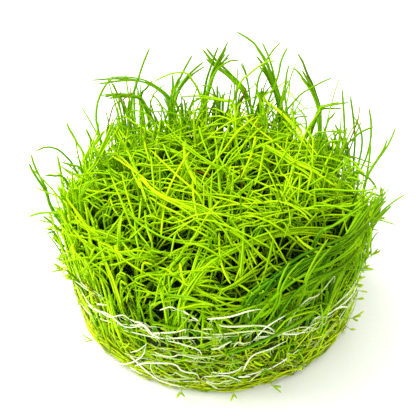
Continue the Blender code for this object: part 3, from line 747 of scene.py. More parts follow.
# Blades that stand out on the top, as pixels along each, with the height that they lie at
topTraces = {
    "leftBand": {"pixels": [(71, 192), (84, 178), (95, 165), (104, 147), (114, 130), (121, 117)], "height": 39,
                 "blades": 6},
    "leftBandTwo": {"pixels": [(85, 163), (92, 148), (100, 133), (103, 125)], "height": 38, "blades": 3},
    "leftSlope": {"pixels": [(101, 164), (115, 171), (128, 176), (138, 183)], "height": 40, "blades": 2},
    "leftClump": {"pixels": [(106, 172), (113, 176), (122, 182), (132, 189)], "height": 39, "blades": 4},
    "leftShort": {"pixels": [(102, 180), (110, 191)], "height": 39},
    "leftRise": {"pixels": [(109, 200), (119, 194), (128, 191), (138, 189)], "height": 40},
    "leftPale": {"pixels": [(110, 200), (113.5, 209), (119, 216)], "height": 39, "tone": 1.0},
    "leftFall": {"pixels": [(85, 201), (93, 205), (101, 210)], "height": 38},
    "innerSlant": {"pixels": [(115, 127), (123, 137), (134, 150.5)], "height": 40, "blades": 2},
    "backCurve": {"pixels": [(122, 118), (134, 123), (145, 129), (156, 136)], "height": 41, "tone": 0.85},
    "paleSlant": {"pixels": [(143, 137), (146, 149), (150, 163)], "height": 41, "tone": 1.0},
    "crossDown": {"pixels": [(150, 153), (152, 162), (154, 175), (157, 192)], "height": 41, "blades": 2},
    "slashOne": {"pixels": [(135, 137), (146, 132), (158, 122)], "height": 40},
    "slashTwo": {"pixels": [(134, 150), (143, 147), (152, 144.5), (162, 140.5), (173, 138)], "height": 41,
                 "blades": 2},
    "slashThree": {"pixels": [(155, 141), (162, 138), (173, 133), (191, 124.5)], "height": 41, "tone": 0.85},
    "slashFour": {"pixels": [(157, 166), (169, 160), (181, 152), (198, 143.5)], "height": 41, "tone": 0.9},
    "slantOne": {"pixels": [(161, 143), (169, 158), (175, 168)], "height": 41},
    "bigSlant": {"pixels": [(185, 143), (185.5, 158), (189, 169), (198, 183), (208, 194)], "height": 42,
                 "blades": 4, "tone": 0.8},
    "mainDown": {"pixels": [(127, 152), (134, 166), (139, 178), (143, 190), (148, 203), (152, 215)], "height": 41,
                 "blades": 5},
    "mainRight": {"pixels": [(139, 181), (152, 190), (165, 199), (181, 207), (200, 218)], "height": 42,
                  "blades": 2, "tone": 0.9},
    "mainLow": {"pixels": [(147, 199), (161, 205.5), (177, 213), (189, 220)], "height": 41, "tone": 0.9},
    "smallArch": {"pixels": [(157, 184), (166, 179), (175, 181), (185, 185)], "height": 41, "tone": 0.9},
    "middleRise": {"pixels": [(161, 190), (180, 191), (190, 186), (200, 181)], "height": 41},
    "middleDrop": {"pixels": [(142, 199), (140, 210), (139, 221)], "height": 40},
    "rightBand": {"pixels": [(256, 147), (268, 149), (282, 156), (296, 165), (310, 172), (322, 181), (331, 190)],
                  "height": 40, "blades": 6, "tone": 0.8},
    "rightCross": {"pixels": [(230, 161), (245, 154), (260, 146), (276, 140), (295, 132)], "height": 41,
                   "blades": 2},
    "rightSlantOne": {"pixels": [(240, 113), (247, 119.5), (259, 130), (273, 141), (284, 151), (297, 163)],
                      "height": 41, "tone": 0.9},
    "rightSlantTwo": {"pixels": [(256, 94), (267, 102), (276, 108), (287, 118), (298, 130), (307, 143), (318, 159)],
                      "height": 41, "tone": 0.95, "blades": 2},
    "rightSlantThree": {"pixels": [(280, 121), (290, 130), (300, 139), (309, 150), (316, 164)], "height": 39,
                        "blades": 3},
    "rightSlash": {"pixels": [(230, 160), (240, 148), (250, 138.5), (258, 130), (264, 126)], "height": 41,
                   "tone": 0.95},
    "rightSlashTwo": {"pixels": [(233, 137), (243, 128), (254.5, 115)], "height": 41, "tone": 0.9},
    "rightPoleOne": {"pixels": [(265, 146), (262, 160), (259, 174), (254, 187)], "height": 41},
    "rightPoleTwo": {"pixels": [(256, 137), (251.5, 154), (244, 171), (240, 180)], "height": 42, "tone": 1.0},
    "rightPoleThree": {"pixels": [(297, 154), (291, 165), (287, 178)], "height": 40, "blades": 2},
    "rightPoleFour": {"pixels": [(293, 171), (287, 186), (279, 201)], "height": 41, "tone": 0.95},
    "rightPoleFive": {"pixels": [(300, 176), (299, 190), (297, 205)], "height": 40},
    "rightArch": {"pixels": [(251, 195), (261, 190), (273, 185), (287, 186), (299, 189), (316.5, 197)],
                  "height": 41, "tone": 0.9},
    "rightStand": {"pixels": [(311, 157), (312, 164), (313.5, 172)], "height": 38},
    "longFall": {"pixels": [(86, 194), (86.5, 208), (91, 217), (96, 232), (101, 250), (106, 264), (112, 279),
                            (118, 297), (121, 308)], "height": 35, "blades": 2},
    "frontLeftFanTwo": {"pixels": [(73, 233.5), (87, 234.5), (103, 238), (118, 243.5), (136, 251)], "height": 35,
                        "blades": 3},
    "slashLeft": {"pixels": [(107, 240), (113.5, 228), (120.5, 219), (126, 211), (131, 204)], "height": 38,
                  "blades": 2},
    "poleLeft": {"pixels": [(119, 244), (120, 225), (125, 212)], "height": 39, "blades": 2},
    "poleLeftTwo": {"pixels": [(135, 221), (136, 236), (139, 251)], "height": 38},
    "frontDip": {"pixels": [(124, 210), (136, 222), (147, 229), (156, 235), (168, 240), (182, 243), (200, 244),
                            (220, 246)], "height": 39, "blades": 2},
    "innerDip": {"pixels": [(127, 226), (136, 231), (144, 240), (151, 249)], "height": 38},
    "innerFall": {"pixels": [(145, 212), (146.5, 227), (150, 240), (153, 248)], "height": 38, "blades": 2},
    "palePole": {"pixels": [(165, 209), (162.5, 220), (161, 237)], "height": 39, "tone": 1.0},
    "riseMiddle": {"pixels": [(148, 227), (160, 222), (170, 218), (184, 214)], "height": 39, "blades": 2},
    "hubLeft": {"pixels": [(160, 275), (150, 275), (137, 278), (126, 283)], "height": 34, "blades": 2},
    "hubCurve": {"pixels": [(159, 275), (146, 276), (135, 282), (129, 292), (126, 304)], "height": 33},
    "hubFall": {"pixels": [(156, 264), (158, 275), (161, 286), (164, 297), (168, 309)], "height": 34,
                "blades": 4},
    "hubSlope": {"pixels": [(159, 277), (148, 283), (140, 291), (133, 300)], "height": 32, "blades": 2},
    "hubBand": {"pixels": [(157, 277), (166, 273), (172, 268), (178, 261), (183, 251)], "height": 35,
                "blades": 5},
    "lowSlopeLeft": {"pixels": [(75, 253), (87, 263), (98, 271), (106, 280)], "height": 32, "blades": 3},
    "lowSlopeLeftTwo": {"pixels": [(78, 264), (85, 275), (96, 287)], "height": 29, "blades": 2},
    "mainBand": {"pixels": [(131, 163), (141, 185), (160, 195), (180, 201), (201, 204), (223, 217), (233, 228),
                            (242, 240)], "height": 42, "blades": 4},
    "fallOne": {"pixels": [(170, 218), (187, 226), (201, 233), (213, 240)], "height": 40, "tone": 0.9},
    "fallTwo": {"pixels": [(185, 214), (199, 223), (208, 228), (218, 236)], "height": 40},
    "bigArcOne": {"pixels": [(169, 271), (178, 260), (184, 250), (190, 243), (199, 234), (206, 225)],
                  "height": 37, "blades": 4},
    "bigArcTwo": {"pixels": [(183, 302), (190, 290), (201, 273), (213, 263), (224, 256), (242, 247),
                             (254, 240.5), (269.5, 234.5), (292, 229)], "height": 38, "blades": 3, "tone": 0.8},
    "bigArcThree": {"pixels": [(186, 297), (196, 285), (207, 271), (217, 262), (230, 255), (244, 250)],
                    "height": 37, "blades": 2},
    "fanOne": {"pixels": [(180, 303), (189, 284), (195, 261), (200.5, 246), (204.5, 234), (210, 225), (214, 216)],
               "height": 37, "blades": 3, "tone": 0.8},
    "fanTwo": {"pixels": [(184, 300), (191, 284), (199, 270), (208, 258), (218, 246)], "height": 36,
               "blades": 3},
    "fanThree": {"pixels": [(170, 292), (180, 271), (193, 254), (202, 242)], "height": 36, "blades": 2},
    "hubDrop": {"pixels": [(206, 313), (207.5, 302), (214, 295), (223, 291)], "height": 32, "blades": 2},
    "hubLevel": {"pixels": [(188, 298), (202, 295.5), (217, 294)], "height": 34, "tone": 0.9},
    "hubArc": {"pixels": [(236, 286), (251, 281), (266, 279), (282, 283)], "height": 34, "tone": 0.45},
    "dropSlant": {"pixels": [(205, 249), (216, 260), (223, 268), (231, 281)], "height": 36},
    "lowSlant": {"pixels": [(203, 274), (209, 283), (216, 292)], "height": 33},
    "smallHook": {"pixels": [(245.5, 249), (252, 256), (257, 266)], "height": 37, "tone": 0.9},
    "frontSlash": {"pixels": [(265, 238), (254, 255), (242, 265), (234, 284)], "height": 37, "tone": 0.8},
    "frontFall": {"pixels": [(265, 237), (272, 246), (277, 261)], "height": 37},
    "frontSlashTwo": {"pixels": [(276, 233), (272, 250), (266, 269), (260, 287)], "height": 36, "tone": 0.6},
    "centreRise": {"pixels": [(237, 230), (254, 224), (270, 218), (292, 215)], "height": 40, "blades": 2,
                   "tone": 0.85},
    "centreRiseTwo": {"pixels": [(254, 231.5), (270, 225), (288, 219), (304, 217)], "height": 40},
    "bigArch": {"pixels": [(250, 207), (262, 203), (277, 202), (290, 206), (303, 214), (312, 225)], "height": 41,
                "blades": 2, "tone": 0.9},
    "backDip": {"pixels": [(103, 156), (124, 155), (147, 160)], "height": 40},
    "backSlant": {"pixels": [(161, 120), (157, 143), (154, 165)], "height": 40},
    "backPole": {"pixels": [(180, 115), (181, 128), (180, 143)], "height": 40},
    "backPoleTwo": {"pixels": [(186, 139), (186, 165), (188, 187)], "height": 40, "blades": 2},
    "backLean": {"pixels": [(198, 127), (203, 141), (211, 161)], "height": 41},
    "middlePole": {"pixels": [(215.5, 151), (217.5, 171), (220, 205)], "height": 40, "blades": 2},
    "secondBand": {"pixels": [(185, 165), (192, 175), (201, 185), (220, 205)], "height": 41.5, "blades": 4},
    "levelClump": {"pixels": [(135, 167), (153, 167), (172, 167), (187, 166)], "height": 41, "blades": 3},
    "backArc": {"pixels": [(205, 141), (223, 138), (243, 139)], "height": 41},
    "backLeanTwo": {"pixels": [(249, 139), (241, 149), (231, 161)], "height": 41},
    "leftLevel": {"pixels": [(71, 191), (91, 191), (112, 193), (130, 194)], "height": 39, "tone": 1.0},
    "frontLeftFan": {"pixels": [(71, 223), (91, 229), (106, 234), (121, 240), (137, 250)], "height": 36,
                     "blades": 4},
    "frontClump": {"pixels": [(109, 253), (125, 254), (142, 255), (157, 253)], "height": 36, "blades": 3},
    "frontArc": {"pixels": [(140, 254), (126, 263), (120, 273), (117, 286)], "height": 34},
    "frontHook": {"pixels": [(190, 243), (180, 258), (172, 269), (166, 281), (168, 305)], "height": 35,
                  "blades": 4},
    "frontLean": {"pixels": [(203, 240), (193, 273), (185, 286), (177, 305)], "height": 36, "blades": 3},
    "fanLow": {"pixels": [(216, 296), (231, 287), (244, 278), (257, 269), (271, 261)], "height": 35, "blades": 4},
    "fanDark": {"pixels": [(261, 308), (271, 299), (287, 283), (302, 269), (322, 258), (343, 250)], "height": 33,
                "blades": 7, "tone": 0.35},
    "fanBright": {"pixels": [(200, 267), (220, 255), (244, 246), (265, 236), (287, 230), (304, 228), (322, 229),
                             (343, 230)], "height": 38, "blades": 5, "tone": 0.85},
    "fanCross": {"pixels": [(229, 220), (241, 235)], "height": 40},
    "fanDrop": {"pixels": [(244, 220), (244, 246), (243, 277)], "height": 39, "blades": 2},
    "fanDropTwo": {"pixels": [(219, 233), (220, 256), (225, 274), (232, 286)], "height": 38},
    "rightFall": {"pixels": [(288, 233), (304, 246), (323, 259)], "height": 37, "blades": 2},
    "rightFallTwo": {"pixels": [(275, 233), (271, 249), (266, 269), (263, 277)], "height": 38},
    "rightSweep": {"pixels": [(300, 217), (320, 204), (341, 195), (356, 194)], "height": 38, "blades": 3},
    "rightSweepTwo": {"pixels": [(300, 218), (331, 208), (361, 201)], "height": 37, "blades": 2},
    "backCross": {"pixels": [(290, 83.5), (277, 87.5), (267, 94), (253, 109)], "height": 42},
    "backBrightTwo": {"pixels": [(285, 94), (295, 99), (306, 109)], "height": 41, "tone": 1.0},
}


def footOf(spot, following, depth=14.0):
    # the hidden foot of a blade that leaves the crowd at this spot, straight on from its last stretch
    lean = unit((spot - following) * np.array([1.0, 1.0, 0.0]))
    foot = spot + lean * 4.0 - np.array([0.0, 0.0, depth])
    reach = math.hypot(foot[0], foot[1])
    foot[:2] *= min(1.0, 0.93 * float(wallRadius(foot[2])) / max(reach, 1e-6))
    return np.array([foot[0], foot[1], max(foot[2], 8.0)])


def addTraced(traced, spots, seed, points, thickness):
    # spots run from the foot's end to the tip
    rng = np.random.default_rng(seed)
    guide = evenPath([footOf(spots[0], spots[1])] + spots, points)
    blades = traced.get("blades", 1)
    path = guide[None]
    if blades > 1:
        path = lockOf(guide, rng, blades, 0.2 * math.sqrt(blades), 1.4, 0.6 + 0.12 * blades, uneven=0.25)
    tones = traced.get("tone", 0.2) + rng.normal(0.0, 0.12, blades)
    fade = traced.get("fade", 0.0)
    tones = np.clip(tones - fade, 0.0, 1.0)
    thickness = pick(rng, thickness, blades) * traced.get("thin", 1.0)
    gather(path, thickness, tones, np.full(blades, traced.get("age", 0.0)), tipFrom=0.85, fade=fade)


for number, traced in enumerate(rimTraces.values()):
    tipDepth, footDepth = traced["depth"]
    shares = np.linspace(0.0, 1.0, len(traced["pixels"]))
    spots = [atDepth(pixel, tipDepth + (footDepth - tipDepth) * share)
             for pixel, share in zip(traced["pixels"], shares)]
    addTraced(dict({"fade": -0.45}, **traced), spots[::-1], 300 + number, 18, (0.30, 0.36))
for number, traced in enumerate(topTraces.values()):
    pixels = traced["pixels"]
    spots = []
    for i, pixel in enumerate(pixels):
        # they rise from one end, are highest past the middle and dip a little at the tip
        share = i / (len(pixels) - 1)
        spots.append(atHeight(pixel, traced["height"] - 3.0 * (1.0 - share) ** 2 - 1.0 * share ** 3))
    addTraced(dict({"tone": 0.66}, **traced), spots, 400 + number, 18, (0.22, 0.27))
for number, traced in enumerate(sweepTraces.values()):
    tops = np.linspace(37.5, 42.0, len(traced["pixels"]))  # they rise a little over the rim
    spots = [onWall(pixel, 0.4, top) for pixel, top in zip(traced["pixels"], tops)]
    # the sweeps' low default tone is painted shade
    addTraced(dict({"tone": 0.05}, **traced), spots, 500 + number, 18, (0.23, 0.3))
print("traced blades:", len(rimTraces) + len(topTraces) + len(sweepTraces))

# Each tuft takes the blades whose feet stand on its ground
tuftRings = {"edge": 27.0, "middle": 14.0, "centre": 0.0}  # inner radius of each ring


def ownersOf(feet):
    angle = np.arctan2(feet[:, 1], feet[:, 0]) % math.tau
    radius = np.hypot(feet[:, 0], feet[:, 1])
    owners = np.full(len(feet), "", dtype=object)
    for ring, inner in tuftRings.items():
        names = sorted(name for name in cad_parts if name.startswith(ring + "_tuft"))
        slots = np.minimum((angle / math.tau * len(names)).astype(int), len(names) - 1)
        mine = (radius >= inner) & (owners == "")
        owners[mine] = np.array(names, dtype=object)[slots[mine]]
    return owners


def plantTufts():
    byTuft = {}
    for path, radii, tones, ages, sides, fade in gathered:
        owners = ownersOf(path[:, 0])
        for tuft in sorted(set(owners)):
            mine = owners == tuft
            byTuft.setdefault(tuft, []).append((path[mine], radii[mine], tones[mine], ages[mine], sides, fade))
    for tuft, batches in sorted(byTuft.items()):
        piece = makePiece(tuft.replace("tuft", "blades"), batches, leafMaterial)
        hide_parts(tuft)
    print("tufts planted:", len(byTuft))


plantTufts()

# The base, made in place of the imported root mat: roots and thatch matted into the cup's form
base = {
    "inset": 1.5,  # how far its side stands behind the blades
    "thatchTop": matTop + 8.0,
    "thatchDome": 3.0,
    "around": 240,
    "lumpSize": 5.0,
    "lump": 0.9,
    "threadSize": 1.4,
    "thread": 0.7,
}


def addBase():
    # its outline from the middle of the underside, out, up the side and in over the thatch
    side = [(float(wallRadius(z)) - base["inset"], z) for z in np.linspace(0.6, base["thatchTop"] - 2.0, 34)]
    edge = side[-1][0]
    under = [(r, 0.0) for r in np.linspace(2.0, side[0][0] - 0.8, 12)]
    over = []
    for share in np.linspace(0.06, 0.98, 26):
        r = edge * (1.0 - share)
        over.append((r, base["thatchTop"] + base["thatchDome"] * (1.0 - (r / edge) ** 2)))
    outline = under + side + over
    steps = base["around"]
    verts = [(0.0, 0.0, 0.0)]
    for r, z in outline:
        for i in range(steps):
            angle = i / steps * math.tau
            spot = Vector((r * math.cos(angle), r * math.sin(angle), z))
            lump = noise.noise(spot / base["lumpSize"]) * base["lump"]
            thread = (0.5 - abs(noise.noise(spot / base["threadSize"]))) * base["thread"]
            if z > 0:
                outward = Vector((spot.x / r, spot.y / r, 0.0)) if z < base["thatchTop"] - 1.5 else Vector((0, 0, 1))
                spot += outward * (lump + thread)
                spot.z = max(spot.z, 0.0)
            verts.append(tuple(spot * mm))
    verts.append((0.0, 0.0, (base["thatchTop"] + base["thatchDome"]) * mm))
    faces = [(0, 1 + (i + 1) % steps, 1 + i) for i in range(steps)]
    for ring in range(len(outline) - 1):
        low = 1 + ring * steps
        for i in range(steps):
            after = (i + 1) % steps
            faces.append((low + i, low + after, low + steps + after, low + steps + i))
    low = 1 + (len(outline) - 1) * steps
    faces += [(low + i, low + (i + 1) % steps, len(verts) - 1) for i in range(steps)]
    mesh = bpy.data.meshes.new("packed_base")
    mesh.from_pydata(verts, [], faces)
    mesh.shade_smooth()
    mesh.materials.append(rootsMaterial)
    piece = bpy.data.objects.new("packed_base", mesh)
    bpy.context.scene.collection.objects.link(piece)
    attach(piece, "root")
    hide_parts("root_mat")


addBase()


# Strands that lie along the side: each runs on the wall from its start, climbs at its slope and wanders
def alongWall(rng, count, settings):
    points = settings["points"]
    length = pick(rng, settings["length"], count)[:, None]
    along = np.linspace(0.0, 1.0, points)[None] * length
    slope = np.radians(rng.normal(0.0, settings["slope"], count))[:, None]
    if settings.get("upright"):
        slope = slope + math.pi / 2
    curl = np.radians(rng.normal(0.0, settings["curl"], count))[:, None]
    phase = pick(rng, (0.0, math.tau), count)[:, None]
    wave = np.radians(rng.normal(0.0, settings["wave"], count))[:, None]
    turn = slope + curl * (along - length / 2) + wave * np.sin(along * settings["waveRate"] + phase)
    step = length / (points - 1)
    travelAlong = np.cumsum(np.cos(turn) * step, axis=1)
    climb = np.cumsum(np.sin(turn) * step, axis=1)
    way = rng.choice([-1.0, 1.0], count)[:, None]
    angle = np.radians(pick(rng, settings["angles"], count))[:, None] + way * travelAlong / puck["baseRadius"]
    height = pick(rng, settings["height"], count)[:, None] + climb
    height = settings["lowest"] + np.abs(height - settings["lowest"])
    lift = pick(rng, settings["lift"], count)[:, None]
    lift = lift + settings["liftWave"] * np.sin(along * settings["waveRate"] * 0.7 + phase * 2.0)
    return around(angle, wallRadius(height) + lift, height)


sideStems = {  # olive and yellow-green stems and roots pressed into the side, low down
    "count": 620, "points": 9, "sides": 3, "angles": (0, 360), "height": (0.4, 19.0), "length": (4.0, 16.0),
    "slope": 46, "curl": 3.0, "wave": 14, "waveRate": 0.7, "lowest": 0.35, "lift": (-1.6, 0.5), "liftWave": 0.25,
    "thickness": (0.17, 0.27), "tone": 0.6, "toneSpread": 0.25, "oldShare": 0.04,
}
fineRoots = dict(sideStems, count=150, points=8, slope=60, length=(3.0, 12.0), lift=(-1.0, 0.8), curl=6.0, wave=25,
                 thickness=(0.07, 0.12), tone=0.2, toneSpread=0.3, oldShare=0.1, height=(0.4, 17.0))

hemStems = dict(sideStems, count=300, height=(0.3, 4.5), slope=14, length=(8.0, 20.0), lift=(-1.4, 0.3), wave=8,
                tone=0.95)  # stems bent round the foot of the puck


def addAlongWall(name, seed, settings, material):
    rng = np.random.default_rng(seed)
    count = settings["count"]
    path = alongWall(rng, count, settings)
    tones = np.clip(rng.normal(settings["tone"], settings["toneSpread"], count), 0.0, 1.0)
    ages = (rng.uniform(0.0, 1.0, count) < settings["oldShare"]) * rng.uniform(0.4, 1.0, count)
    radii = taper(pick(rng, settings["thickness"], count), settings["points"])
    piece = makePiece(name, [(path, radii, tones, ages, settings["sides"])], material)


addAlongWall("side_stems", 51, sideStems, oldMaterial)
addAlongWall("fine_roots", 52, fineRoots, runnerMaterial)
addAlongWall("hem_stems", 53, hemStems, oldMaterial)
print("base: made")

# White runners seen in the photograph, as pixels along each; they weave in and out of the blades on the side
runnerTraces = {
    "mainBand": [(192, 330), (201, 331.5), (210, 334), (223, 334), (246, 331.5), (260, 330.5), (271, 333), (278, 334),
                 (292, 330), (302, 327), (314, 328), (320, 330)],
    "upperMiddle": [(207, 319), (229, 317), (249, 311), (262, 309)],
    "upperMiddleTwo": [(218, 324.5), (225, 326.5), (237, 326.5), (259, 325.5), (270, 328), (280, 337)],
    "stubMiddle": [(202, 329), (213, 329)],
    "leftBranch": [(130, 319.5), (137, 322.5), (144, 324.5), (152, 334), (160, 338)],
    "leftBranchTwo": [(130, 325.5), (143, 325), (147, 331), (158, 340.5)],
    "leftJoint": [(151, 334), (160, 333), (176, 332), (186, 329)],
    "leftJointTwo": [(166, 335), (173, 338), (189, 336)],
    "descending": [(168, 341), (180, 343.5), (198, 349.5), (202, 355)],
    "lowerWave": [(154, 351.5), (161, 355), (172, 357), (180, 354.5), (194, 358), (206, 357.5), (217, 360.5)],
    "lowLoop": [(135, 366), (142, 363.5), (151, 363), (174, 364), (180, 369.5), (187, 372.5), (196, 373.5),
                (200, 380)],
    "leftHook": [(130, 352.5), (138, 350.5), (143, 347), (147, 343.5)],
    "upperStub": [(183, 311), (191, 316), (199, 321)],
    "upperStubTwo": [(182, 317), (191, 320), (200, 321)],
    "rightRise": [(211, 349), (217.5, 348.5), (224, 345), (232, 341)],
    "rightZig": [(233.5, 347), (238, 342), (243.5, 343.5), (251, 342)],
    "rightShort": [(254, 339), (262, 338), (270, 335)],
    "rightLow": [(243, 371), (248, 361), (255, 354), (270, 349), (288, 340)],
    "bottomWave": [(175, 372), (184, 376.5), (196, 378.5)],
    "bottomRight": [(212, 372), (225, 373.5), (237, 370.5), (242.5, 366)],
    "bottomMiddle": [(204, 376.5), (225, 375.5), (233, 378), (242, 381.5)],
    "bottomMiddleTwo": [(206, 381), (217.5, 384), (225, 381), (233, 380.5)],
    "bottomRise": [(249, 382), (257, 375), (264, 368.5)],
    "lowDrop": [(150.5, 364), (151.5, 370.5), (157, 377.5)],
    "lowLeft": [(130, 367), (142, 374.5)],
    "lowMiddle": [(164, 376.5), (170, 378.5), (180, 379), (192.5, 378.5)],
    "sproutStemLeft": [(130, 356), (142, 367), (157, 379), (170, 384), (187, 388)],
    "sproutStem": [(206, 382), (212, 385), (218, 389)],
    "bottomShort": [(238, 377), (250.5, 376.5)],
    "leftWhite": [(71, 280), (78, 283), (90, 292), (102, 297)],
    "leftWhiteTwo": [(77, 273), (83.5, 285), (94, 291), (102, 296.5)],
    "leftLong": [(82, 292), (90, 305), (101, 312), (110, 317), (123, 315), (131, 320), (145, 323)],
    "leftLongTwo": [(88, 305), (95, 310), (108, 314), (126, 327), (145, 325)],
    "leftShort": [(97, 304), (107, 305)],
    "leftCross": [(134.5, 325), (147, 331), (159, 333)],
    "upperLeft": [(160, 310), (170, 307), (176, 309)],
    "rightThick": [(287, 327), (292, 317), (299, 308), (308, 299), (319, 294.5), (334, 276)],
    "rightLong": [(254, 340), (265, 328), (275.5, 321), (286, 315)],
    "rightJoin": [(257, 337), (271, 336), (278, 333), (298, 334), (312, 325), (322, 321)],
    "rightEdge": [(314, 319), (322, 315)],
    "rightEnd": [(333, 311), (340, 307), (348, 307)],
    "lowCurve": [(100, 345), (110, 359), (122, 364), (133, 362), (143, 355), (146, 343)],
}

# The long runners round the whole side, as angle in degrees and height, the same routes as in the CAD
runnerRoutes = {
    "frontLeft": [(-157, 9), (-145, 12.5), (-130, 18), (-118, 22.5), (-107, 25.2)],
    "frontMiddle": [(-125, 17.6), (-110, 20.5), (-95, 23.5), (-81, 23.8)],
    "frontRight": [(-76, 22.3), (-65, 20.5), (-54, 17), (-43, 15.8)],
    "frontLower": [(-110, 16.4), (-94, 16.0), (-77, 18.4)],
    "frontLow": [(-120, 11.6), (-104, 13.4), (-88, 13.2)],
    "frontBase": [(-133, 2.6), (-110, 3.4), (-88, 6)],
    "rightLow": [(-80, 7.2), (-69, 8.4), (-58, 11.8)],
    "rightHigh": [(-52, 20.4), (-33, 20.6), (-14, 19)],
    "rightSide": [(-36, 9), (-15, 11.2), (6, 11.4)],
    "backRight": [(16, 20), (46, 21), (76, 18.8)],
    "backLeft": [(88, 12.2), (118, 15.8), (148, 16.2)],
    "leftSide": [(157, 21), (176, 20.2), (196, 17)],
}
runner = {
    "thickness": 0.175,
    "jointGap": 8.0,  # from one swollen joint to the next
    "jointSwell": 0.15,
    "lift": 0.9,
    "liftWave": 0.25,
    "routeLift": 0.3,  # of the long ones, which hug the side
    "pointGap": 1.1,
    "sides": 6,
    "hairs": 3,  # root hairs at a joint
    "copies": {"rightHigh": 2, "rightSide": 2, "backRight": 6, "backLeft": 6, "leftSide": 5},
}
thinRunners = ["leftBranchTwo", "leftCross", "leftJointTwo", "upperStubTwo", "leftWhite", "leftHook"]


def runnerStrand(rng, spots, thickness):
    length = float(np.sum(np.linalg.norm(np.diff(spots, axis=0), axis=1)))
    count = max(8, int(length / runner["pointGap"]))
    path = evenPath(spots, count)
    share = np.linspace(0.0, 1.0, count)
    phase = rng.uniform(0.0, 1.0)
    joints = np.exp(-(((share * length / runner["jointGap"] + phase) % 1.0 - 0.5) / 0.07) ** 2)
    radii = thickness * (1.0 + runner["jointSwell"] * joints) * (1.0 - 0.75 * share ** 4) * (0.6 + 0.4 * smoothStep(0.0, 0.1, share))
    tone = np.clip(rng.normal(0.7, 0.2), 0.0, 1.0)
    return (path[None], radii[None], [tone], [0.0], runner["sides"]), path[joints > 0.6]


def rootHairs(rng, spots):
    # fine hairs that start at the joints and spread over the side
    batches = []
    for spot in spots:
        for _ in range(runner["hairs"]):
            angle, height = math.atan2(spot[1], spot[0]), spot[2]
            way, length = rng.uniform(-2.6, -0.5), rng.uniform(1.5, 4.0)
            share = np.linspace(0.0, 1.0, 6)
            bend = way + rng.normal(0.0, 0.5) * share
            heights = np.maximum(height + np.sin(bend) * share * length, 0.3)
            angles = angle + np.cos(bend) * share * length / puck["baseRadius"]
            lift = math.hypot(spot[0], spot[1]) - float(wallRadius(height))
            path = around(angles, wallRadius(heights) + lift * (1.0 - 0.4 * share), heights)
            batches.append((path[None], taper(rng.uniform(0.06, 0.09), 6), [0.6], [0.0], 3))
    return batches


def routeSpots(route, turn=0.0, climbs=None):
    spots = []
    for (angle, height), climb in zip(route, climbs or [0.0] * len(route)):
        radius = float(wallRadius(height)) + runner["routeLift"]
        spots.append(around(math.radians(angle + turn), radius, max(height + climb, 0.6)))
    return spots


def addRunners():
    rng = np.random.default_rng(61)
    names = sorted(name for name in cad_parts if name.startswith("runner_"))
    centres = {name: np.mean(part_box(name), axis=0) / mm for name in names}
    batches = {name: [] for name in names}

    def keep(spots, thickness):
        middle = np.mean(spots, axis=0)
        nearest = min(names, key=lambda name: np.linalg.norm(centres[name] - middle))
        strand, joints = runnerStrand(rng, spots, thickness)
        batches[nearest].append(strand)
        batches[nearest].extend(rootHairs(rng, joints))

    for name, pixels in runnerTraces.items():
        phase = rng.uniform(0.0, math.tau)
        spots = [onWall(pixel, runner["lift"] + runner["liftWave"] * math.sin(phase + 0.9 * i))
                 for i, pixel in enumerate(pixels)]
        keep(spots, runner["thickness"] * rng.uniform(0.85, 1.25) * (0.6 if name in thinRunners else 1.0))
    for route in runnerRoutes.values():
        keep(routeSpots(route), runner["thickness"])
    for name, copies in runner["copies"].items():
        route = runnerRoutes[name]
        for _ in range(copies):
            first = rng.integers(0, len(route) - 1)
            climbs = list(rng.normal(-3.0, 5.0) + rng.normal(0.0, 1.0, len(route) - first))
            keep(routeSpots(route[first:], rng.normal(0.0, 9.0), climbs), runner["thickness"] * rng.uniform(0.6, 1.1))
    for name in names:
        piece = makePiece(name.replace("runner", "white_runner"), batches[name], runnerMaterial)
        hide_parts(name)
    print("runners:", sum(len(parts) for parts in batches.values()))


addRunners()

# Young sprouts at the runners' ends, the same places as in the CAD: angle, height, rise in degrees and reach
sproutPlaces = {
    "plantlet_01": (-103, 1.8, 8, 5.5), "plantlet_02": (-84, 1.6, 4, 4.5), "plantlet_03": (-70, 2.6, 12, 5.0),
    "plantlet_04": (-140, 6.4, 14, 6.0), "plantlet_05": (-166, 14, 30, 6.5), "plantlet_06": (-28, 5.4, 18, 5.5),
    "plantlet_07": (-9, 15, 34, 6.0), "plantlet_08": (-174, 24, 42, 7.0), "plantlet_09": (22, 11, 38, 5.5),
    "plantlet_10": (82, 8, 30, 6.0), "plantlet_11": (126, 7, 24, 5.5), "plantlet_12": (176, 7.6, 35, 5.0),
}
sprout = {"leafLength": (2.0, 3.8), "leafThickness": (0.2, 0.3), "spread": 28, "stemThickness": 0.17, "extras": 34,
          "left": 16}


